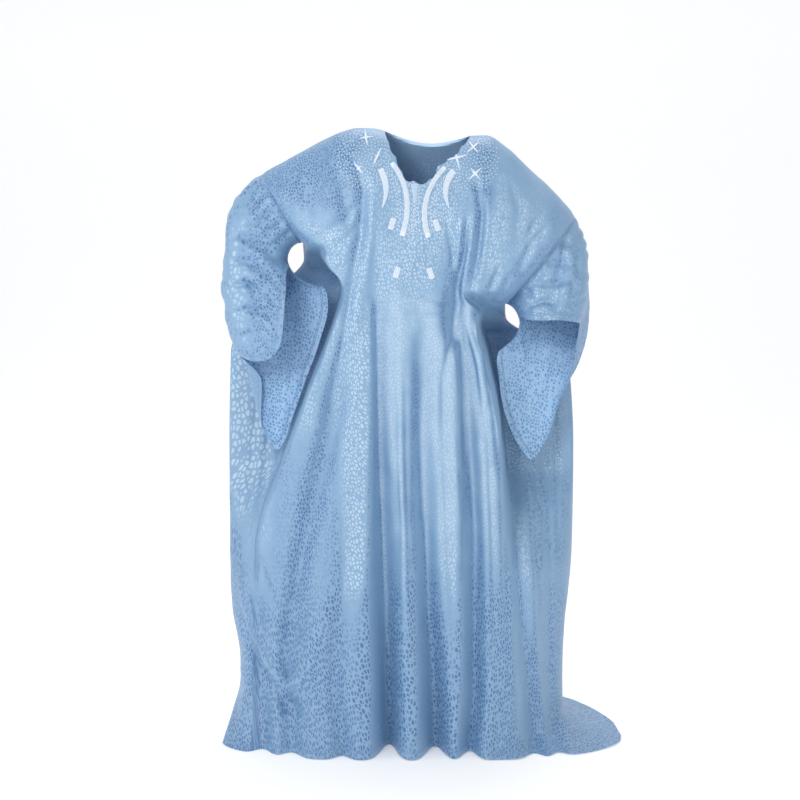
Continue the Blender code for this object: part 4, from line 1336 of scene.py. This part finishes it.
@dataclass
class WideSleeve:
    """A wide sleeve that hangs open from the armhole."""

    cut: SleeveCut
    front: BodyPanel
    back: BodyPanel
    face: bpy.types.Material
    reverse: bpy.types.Material

    def ring(self) -> np.ndarray:
        """Takes the armhole's ring of points from the edges of the two panels."""
        edge = 0 if self.cut.outward < 0 else -1
        fore = self.front.points[:YOKE_ROWS + 1, edge]
        aft = self.back.points[1:YOKE_ROWS, edge][::-1]
        return np.concatenate((fore, aft))

    def form(self) -> np.ndarray:
        """Works out the middle surface, threads from the armhole to the hem.

        Each thread runs in polar coordinates about a point below the armhole, from its armhole
        point to its hem point, and swells out of the front and the back as a half ellipse does.

        Returns:
            Points of shape (rows, ring points, 3).
        """
        cut = self.cut
        ring = self.ring()
        index = np.arange(len(ring))
        front = index <= YOKE_ROWS
        across = armhole_shares(np.where(front, index, len(ring) - index) / YOKE_ROWS)
        swell = np.sqrt(4.0 * across * (1.0 - across))
        outward = cut.outward * (ring[:, 0] - cut.centre[0])
        upward = ring[:, 2] - cut.centre[1]
        start_angle = np.degrees(np.arctan2(outward, upward))
        start_radius = np.hypot(outward, upward)
        end_angle, end_radius = (
            np.where(
                front,
                along(across, cut.front_hem, "across", name),
                along(across, cut.back_hem, "across", name),
            )
            for name in ("angle", "radius")
        )
        t = np.linspace(0.0, 1.0, SLEEVE_CELLS * SLEEVE_SPLIT + 1)[:, None]
        deep = np.where(front, 0.0, smooth_step(across / 0.3))
        angle = np.radians(start_angle + (end_angle - start_angle) * t ** (1.0 - 0.3 * deep))
        growth = np.where(end_radius > start_radius, t ** (1.0 + 5.0 * deep), t)
        radius = start_radius + (end_radius - start_radius) * growth
        stations = np.linspace(0.0, 1.0, len(cut.outer_radii))
        outer = through(t, stations, np.array(cut.outer_radii))
        straight = cut.outer_radii[0] + (cut.outer_radii[-1] - cut.outer_radii[0]) * t
        radius = radius + (outer - straight) * (1.0 - across)
        fore_depth = -(ARMHOLE_DEPTH + (cut.front_depth - ARMHOLE_DEPTH) * t)
        aft_depth = ARMHOLE_DEPTH + (cut.back_depth - ARMHOLE_DEPTH) * t
        depth = np.where(front, fore_depth, aft_depth)
        middle = (cut.outer_y + (cut.inner_y - cut.outer_y) * across) * t
        puff = cut.puff * np.sin(3.0 * np.pi * across) * np.sin(np.pi * t)
        puff = puff * np.where(front, -1.0, 1.0)
        y = middle + (depth + puff) * swell
        x = cut.centre[0] + cut.outward * radius * np.sin(angle)
        z = cut.centre[1] + radius * np.cos(angle)
        points = np.stack((x, y, z), axis=-1)
        points[0] = ring
        return points

    def outward_normals(self, points: np.ndarray) -> np.ndarray:
        """Gives the normals, turned away from the inside of the sleeve."""
        normals = surface_normals(points, True)
        middle = points.mean(axis=1, keepdims=True)
        if np.sum(normals[:40] * (points - middle)[:40]) < 0.0:
            normals = -normals
        return normals

    def dress(self) -> bpy.types.Object:
        """Builds the sleeve's shell with its crumples, dresses it and logs its faces and its area
        of cloth.
        """
        cut = self.cut
        points = self.form()
        front = (np.arange(points.shape[1]) <= YOKE_ROWS)[None, :]
        normals = self.outward_normals(points)
        x, z = points[..., 0], points[..., 2]
        fore = crease_depth(cut.creases, x, z)
        aft = crease_depth(cut.back_creases, x, z)
        seed = 70 + cut.outward
        ridged = 1.0 - 2.0 * np.abs(value_noise(x * 0.8 + z * 0.4, z - 0.3 * x, 0.027, seed))
        soft = value_noise(x, z, 0.017, seed + 5)
        crumple = cut.crumple * (0.75 * ridged + 0.35 * soft)
        from_seam = run_along(points, 0)
        sink = np.where(front, 1.3 * fore + crumple, aft + 0.35 * crumple)
        sink = sink * smooth_step(from_seam / SLEEVE_SEAM_EASE)
        groove = SEAM_GROOVE_RIGHT if cut.outward < 0 else SEAM_GROOVE_LEFT
        sink = sink - groove * (1.0 - np.exp(-((from_seam / SEAM_REACH) ** 2)))
        points = points - normals * sink[..., None]
        normals = self.outward_normals(points)
        shell = ClothShell(f"{cut.node}_cloth", points, normals, True)
        flat = shell.flat_coordinates(points, 0, 0)
        # painted light near the front's outer edge, painted shade on the back half and, by the
        # front's lean, on the front
        edge = SLEEVE_EDGE.at(np.abs(x)) * front
        lean = np.where(front, cut.front_lean, SLEEVE_BACK_LEAN) + 1.3 * edge
        rear = np.where(front, -1.0, 1.0) * np.ones_like(x)
        to_stitch = np.minimum(run_along(points, 0, from_end=True), from_seam + SEAM_STITCH)
        item = shell.build(flat, {
            "hem": to_stitch * 1000.0,
            "broad": edge,
            "gleam": painted_gleam_field(normals, x, z, rear, lean),
            "cloth": points[..., [0, 2, 1]],
        }, (self.face, self.reverse))
        dress(item, cut.node)
        LOG.info("%s: %d faces, %.2f m2 of cloth", item.name, len(item.data.polygons), shell.area())
        return item


# Stitches and stones in metres: how far apart, how high, and just off the cloth
STITCH_PITCH = 0.0022
STITCH_CORNER = 0.0018
STITCH_EDGE = 0.0005
STITCH_CROWN = 0.0016
JUST_ABOVE = 0.0001
STITCH_TOP = 0.0022
STONE = 0.0016
GOLDEN_TURN = 2.39996


@dataclass(frozen=True)
class Bar:
    """A white embroidered bar on the front: three points of its line, seen from the front."""

    node: str
    top: tuple[float, float]
    middle: tuple[float, float]
    foot: tuple[float, float]
    width: float
    top_share: float
    foot_share: float

    def line(self, t: np.ndarray) -> np.ndarray:
        """Gives the bar's middle line, a parabola through its three points."""
        ends = np.array((self.top, self.foot))
        bend = 2.0 * np.array(self.middle) - ends.mean(axis=0)
        t = t[:, None]
        return (1 - t) ** 2 * ends[0] + 2 * t * (1 - t) * bend + t ** 2 * ends[1]

    def frame(self, t: np.ndarray) -> tuple[np.ndarray, np.ndarray, np.ndarray]:
        """Gives the bar's middle line, the way across it and its share of the full width."""
        line = self.line(t)
        way = np.gradient(line, axis=0)
        way /= np.linalg.norm(way, axis=1)[:, None]
        aside = np.stack((-way[:, 1], way[:, 0]), axis=-1)
        share = self.top_share * (1 - t) ** 2 + 2.0 * t * (1 - t) + self.foot_share * t ** 2
        if self.node == "neck_insert":
            share = self.top_share + (self.foot_share - self.top_share) * t
        return line, aside, share


BARS = table(
    Bar,
    ("bar_long_left", (-60, -72), (-26, -147), (-36, -237), 12, 0.9, 1.1),
    ("bar_long_right", (62, -82), (19, -155), (24, -240), 12, 0.9, 1.1),
    ("crescent_left", (-86, -86), (-73, -127), (-81, -172), 18, 0.80, 0.12),
    ("crescent_right", (82, -90), (64, -129), (71, -174), 18, 0.80, 0.12),
    ("dash_upper_left", (-55, -197), (-59, -210), (-63, -222), 14, 1.0, 1.0),
    ("dash_upper_right", (39, -200), (43, -213), (47, -225), 14, 1.0, 1.0),
    ("dash_lower_left", (-44, -307), (-48, -319), (-52, -331), 14, 1.0, 1.0),
    ("dash_lower_right", (25, -309), (29, -321), (33, -333), 14, 1.0, 1.0),
    ("neck_insert", (-7, -119), (-7, -143), (-7, -168), 20, 1.0, 0.08),
    plain=("node", "top_share", "foot_share"),
)


@dataclass
class NeckWork:
    """The embroidery and the stones round the neck, laid on the front panel."""

    front: bpy.types.Object
    glass: bpy.types.Material
    tree: BVHTree = field(init=False)

    def __post_init__(self) -> None:
        """Makes a search tree of the front's surface."""
        mesh = self.front.data
        self.tree = BVHTree.FromPolygons(
            [vertex.co.copy() for vertex in mesh.vertices],
            [tuple(face.vertices) for face in mesh.polygons],
        )

    def seat(self, x: float, z: float) -> tuple[np.ndarray, np.ndarray]:
        """Finds the front's outer surface behind a point seen from the front.

        Args:
            x: the point's x.
            z: the point's z.

        Returns:
            The point on the cloth and its normal towards the viewer.
        """
        point, normal, _, _ = self.tree.ray_cast(Vector((x, -1.0, z)), Vector((0.0, 1.0, 0.0)))
        if point is None:
            point, normal, _, _ = self.tree.find_nearest(Vector((x, -0.1, z)))
        normal = normal if normal.y < 0.0 else -normal
        return np.array(point), np.array(normal)

    def bar(self, bar: Bar, thread: bpy.types.Material) -> bpy.types.Object:
        """Makes a bar as a crowned pad of satin stitch, nearly square at both ends.

        Its height across is a half ellipse, and the corners of its outline are rounded.

        Args:
            bar: the bar's line and widths.
            thread: the thread it is sewn in.

        Returns:
            The dressed object.
        """
        length = math.hypot(bar.foot[0] - bar.top[0], bar.foot[1] - bar.top[1])
        t = np.linspace(0.0, 1.0, max(14, round(length / STITCH_PITCH)) + 1)
        line, aside, share = bar.frame(t)
        cap = np.minimum(t, 1.0 - t) * length / STITCH_CORNER
        share = share * np.sqrt(1.0 - (1.0 - np.clip(cap, 0.3, 1.0)) ** 2)
        slots = np.linspace(-0.5, 0.5, 9)
        crown = np.sqrt(np.clip(1.0 - (2.0 * slots) ** 2, 0.0, 1.0))
        raise_by = STITCH_EDGE + STITCH_CROWN * crown
        spots = line + slots[:, None, None] * aside * (share * bar.width)[:, None]
        seats = np.array([self.seat(x, z) for x, z in spots.reshape(-1, 2).tolist()])
        seats = seats.reshape(len(slots), len(t), 2, 3)
        points = seats[..., 0, :] + seats[..., 1, :] * raise_by[:, None, None]
        under = seats[..., 0, :] + seats[..., 1, :] * JUST_ABOVE
        middle, away = (points + under) / 2.0, (points - under) / CLOTH_THICKNESS
        shell = ClothShell(f"{bar.node}_stitch", middle, away, False)
        flat = np.stack(np.meshgrid(slots * bar.width, t * length, indexing="ij"), axis=-1)
        item = shell.build(flat, {}, (thread, thread))
        dress(item, bar.node)
        return item


@dataclass(frozen=True)
class Spark:
    """A star of stones: its middle, seen from the front, and its arms' turn and lengths."""

    x: float
    z: float
    turn: float
    long_arm: float
    cross_arm: float


SPARKS = table(
    Spark,
    (-120, -14, 100.0, 16, 14), (-93, -56, 66.0, 20, 0), (-136, -84, 130.0, 16, 6),
    (128, -36, 40.0, 18, 14), (89, -60, 104.0, 26, 24), (131, -96, 42.0, 18, 14),
    plain=("turn",),
)


@dataclass
class StoneSetting:
    """Small glass stones glued round the neck, made as one mesh of pressed domes."""

    work: NeckWork
    places: list[np.ndarray] = field(default_factory=list)

    def add(self, x: np.ndarray, z: np.ndarray, size: np.ndarray | float) -> None:
        """Adds stones at points seen from the front, of one size or of a size each."""
        self.places.append(np.stack(np.broadcast_arrays(x, z, size), axis=-1))

    def row(self, points: np.ndarray, pitch: float, size: float) -> None:
        """Sets stones evenly along a line of points, a pitch apart."""
        lengths = np.hypot(*np.diff(points, axis=0).T)
        start = np.concatenate(([0.0], np.cumsum(lengths)))
        run = np.arange(0.5 * pitch, start[-1], pitch)
        self.add(np.interp(run, start, points[:, 0]), np.interp(run, start, points[:, 1]), size)

    def beside_bars(self) -> None:
        """Covers each bar with three close rows, and runs wider rows beside the long ones."""
        for bar in BARS:
            if bar.node == "neck_insert":
                continue
            line, aside, share = bar.frame(np.linspace(0.05, 0.95, 40))
            for slot in (-0.32, 0.0, 0.32):
                self.row(line + aside * (share * bar.width * slot)[:, None], 0.0038, STONE)
            if bar.node.startswith("bar_long"):
                for away in (-0.022, -0.015, 0.015, 0.022):
                    self.row(line + aside * away, 0.0085, STONE)

    def sparks(self) -> None:
        """Sets each star as crossed rows whose stones shrink to the tips."""
        for spark in SPARKS:
            for turn, arm in ((spark.turn, spark.long_arm), (spark.turn + 90.0, spark.cross_arm)):
                if arm <= 0.0:
                    continue
                place = np.arange(-arm, arm + 1.0e-6, 0.0034)
                angle = math.radians(turn)
                size = 0.0034 - 0.0018 * np.abs(place) / arm
                self.add(spark.x + math.cos(angle) * place, spark.z + math.sin(angle) * place, size)

    def sprays(self) -> None:
        """Strews stones in fans over both shoulders and down the chest, on a sunflower plan."""
        fans = (
            (-0.125, -0.062, 0.062, 210), (0.125, -0.066, 0.062, 210), (-0.004, -0.205, 0.048, 90),
        )
        for x, z, radius, count in fans:
            index = np.arange(count)
            reach = radius * np.sqrt((index + 0.5) / count)
            turn = index * GOLDEN_TURN
            self.add(x + reach * np.cos(turn), z + reach * np.sin(turn) * 1.1, 0.0014)

    def build(self) -> bpy.types.Object:
        """Seats every stone that lies on the front and joins them into one piece.

        Each stone is a ring of eight points on the cloth, a smaller ring above and a flat top.

        Returns:
            The dressed object.
        """
        self.beside_bars()
        self.sparks()
        self.sprays()
        places = np.concatenate(self.places)
        ahead = Vector((0.0, 1.0, 0.0))
        tree = self.work.tree
        hits = [tree.ray_cast(Vector((x, -1.0, z)), ahead) for x, z, _ in places.tolist()]
        kept = [
            index for index, (point, normal, _, _) in enumerate(hits)
            if point is not None and point.y <= -0.004 and abs(normal.y) >= 0.2
        ]
        points = np.array([hits[index][0] for index in kept])
        normals = np.array([hits[index][1] for index in kept])
        normals = -normals * np.sign(normals[:, 1:2])
        places = places[kept]
        size = places[:, 2:]
        lift = np.where(self.on_bar(places), STITCH_TOP, JUST_ABOVE)[:, None]
        first = np.cross(normals, (0.0, 0.0, 1.0))
        first /= np.linalg.norm(first, axis=-1, keepdims=True)
        second = np.cross(normals, first)
        turns = np.linspace(0.0, 2.0 * np.pi, 9)[:-1, None]
        spread = (np.cos(turns) * first[:, None] + np.sin(turns) * second[:, None]) * size[:, None]
        rings = [
            (points + normals * (lift + rise * size))[:, None] + spread * share
            for share, rise in ((1.0, 0.0), (0.98, 0.35), (0.55, 0.95))
        ]
        vertices = np.stack(rings, axis=1).reshape(-1, 3)
        k, n = np.arange(8), (np.arange(8) + 1) % 8
        walls = np.concatenate([
            np.stack((low + k, low + n, low + 8 + n, low + 8 + k), axis=-1) for low in (0, 8)
        ])
        ends = np.stack((16 + k, 7 - k))
        starts = 24 * np.arange(len(kept))[:, None, None]
        mesh = bpy.data.meshes.new("neck_stones")
        faces = (starts + walls).reshape(-1, 4).tolist() + (starts + ends).reshape(-1, 8).tolist()
        mesh.from_pydata(vertices.tolist(), [], faces)
        mesh.materials.append(self.work.glass)
        item = link("neck_stones", mesh)
        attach(item, "root")
        LOG.info("neck_stones: %d stones", len(kept))
        return item

    @staticmethod
    def on_bar(places: np.ndarray) -> np.ndarray:
        """Tells which points lie on one of the embroidered bars."""
        t = np.linspace(0.0, 1.0, 60)
        covered = np.zeros(len(places), dtype=bool)
        for bar in BARS:
            if bar.node != "neck_insert":
                away = places[:, None, :2] - bar.line(t)
                covered |= np.linalg.norm(away, axis=-1).min(axis=1) < bar.width * 0.42
        return covered


@dataclass
class Studio:
    """Pale floor, soft light and the photograph's camera."""

    floor_z: float

    def floor(self) -> None:
        """Lays a pale floor that rises softly into a backdrop."""
        turn = np.linspace(0.1, np.pi / 2, 14)
        run = np.concatenate((np.linspace(-6.0, 3.0, 12), 3.0 + 2.0 * np.sin(turn), [5.0]))
        rise = np.concatenate((np.zeros(12), 2.0 - 2.0 * np.cos(turn), [9.0]))
        wide = np.linspace(-9.0, 9.0, 7)
        across, away = np.meshgrid(wide, run)
        height = self.floor_z + rise[:, None] + 0.0 * across
        points = np.stack((across, away, height), axis=-1).reshape(-1, 3)
        faces = grid_cells(len(run), len(wide))[0]
        mesh = bpy.data.meshes.new("pale_floor")
        mesh.from_pydata(points.tolist(), [], faces.tolist())
        mesh.polygons.foreach_set("use_smooth", np.ones(len(faces), dtype=bool))
        material, _, shader = new_material("matt_paper_backdrop")
        shader.inputs["Base Color"].default_value = linear("#F6F6F6")
        shader.inputs["Emission Color"].default_value = linear("#FFFFFF")
        shader.inputs["Emission Strength"].default_value = 0.22
        shader.inputs["Roughness"].default_value = 0.9
        mesh.materials.append(material)
        link("pale_floor", mesh)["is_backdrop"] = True

    def light(
        self, name: str, place: tuple[float, float, float], size: float, power: float
    ) -> None:
        """Adds a square soft light that looks at the chest of the dress."""
        lamp = bpy.data.lights.new(name, "AREA")
        lamp.shape = "SQUARE"
        lamp.size = size
        lamp.energy = power
        item = link(name, lamp)
        item.location = place
        way = Vector((0.0, 0.0, -0.4)) - Vector(place)
        item.rotation_euler = way.to_track_quat("-Z", "Y").to_euler()

    def camera(self) -> None:
        """Sets the camera 3.8 m in front and 1.35 m above the floor, looking down by 8 degrees."""
        lens = bpy.data.cameras.new("camera")
        lens.lens = 71.9
        lens.sensor_width = 36.0
        lens.shift_x = -18.0 / 800.0
        item = link("camera", lens)
        item.location = (0.0, -3.8, -0.09)
        item.rotation_euler = (math.radians(90.0 - 8.1618), 0.0, 0.0)
        bpy.context.scene.camera = item

    def build(self) -> None:
        """Builds the whole studio."""
        self.camera()
        self.floor()
        self.light("key_softbox", (-1.2, -2.5, 0.8), 1.0, 32.0)
        self.light("side_softbox", (-3.2, -1.0, 0.2), 1.6, 12.0)
        self.light("fill_softbox", (2.8, -2.6, 0.2), 2.2, 12.0)
        self.light("top_softbox", (0.2, 1.4, 2.4), 2.0, 39.0)
        world = bpy.data.worlds.new("studio_air")
        world.use_nodes = True
        world.node_tree.nodes["Background"].inputs["Color"].default_value = linear("#FCFDFF")
        world.node_tree.nodes["Background"].inputs["Strength"].default_value = 0.64
        bpy.context.scene.world = world
        bpy.context.scene.view_settings.view_transform = "Standard"


def main() -> None:
    """Loads the frame, builds every piece of the dress in order and sets the studio."""
    logging.basicConfig(level=logging.INFO, format="%(message)s")
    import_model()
    frame_box = [list(map(float, corner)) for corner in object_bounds()]
    studio = Studio(floor_z=frame_box[0][2] - 0.0005)
    studio.build()
    # the face's ground, then its pebble colour painted lit and its pebble colour painted in shade
    face = SatinJacquard("polyester_satin_jacquard", "#80A4C5", "#AEC7DD", "#4A71A2").make()
    # the reverse's ground is painted lighter than the face's, as painted light in the shaded
    # insides of the sleeves and the neck
    reverse = SatinJacquard(
        "polyester_satin_jacquard_reverse", "#A0C5E6", "#86ADD6", "#6796C6",
        ground_roughness=0.6, pebble_roughness=0.55,
    ).make()
    front = BodyPanel(Side.FRONT, face, reverse, (1.39, 1.77), 1.71)
    back = BodyPanel(Side.BACK, face, reverse, (1.45, 1.65), 1.47)
    front.shape()
    back.shape()
    front_item = front.dress()
    back.dress()
    for cut in (RIGHT_ARM_SLEEVE, LEFT_ARM_SLEEVE):
        WideSleeve(cut, front, back, face, reverse).dress()
    thread = SatinStitch().make()
    pale_thread = SatinStitch("rayon_satin_stitch_pale_blue", "#C6D9EA", "#9CBAD9").make()
    work = NeckWork(front_item, CutGlass().make())
    for bar in BARS:
        item = work.bar(bar, pale_thread if bar.node == "neck_insert" else thread)
        LOG.info("%s: %d faces", item.name, len(item.data.polygons))
    StoneSetting(work).build()


if __name__ == "__main__":
    main()
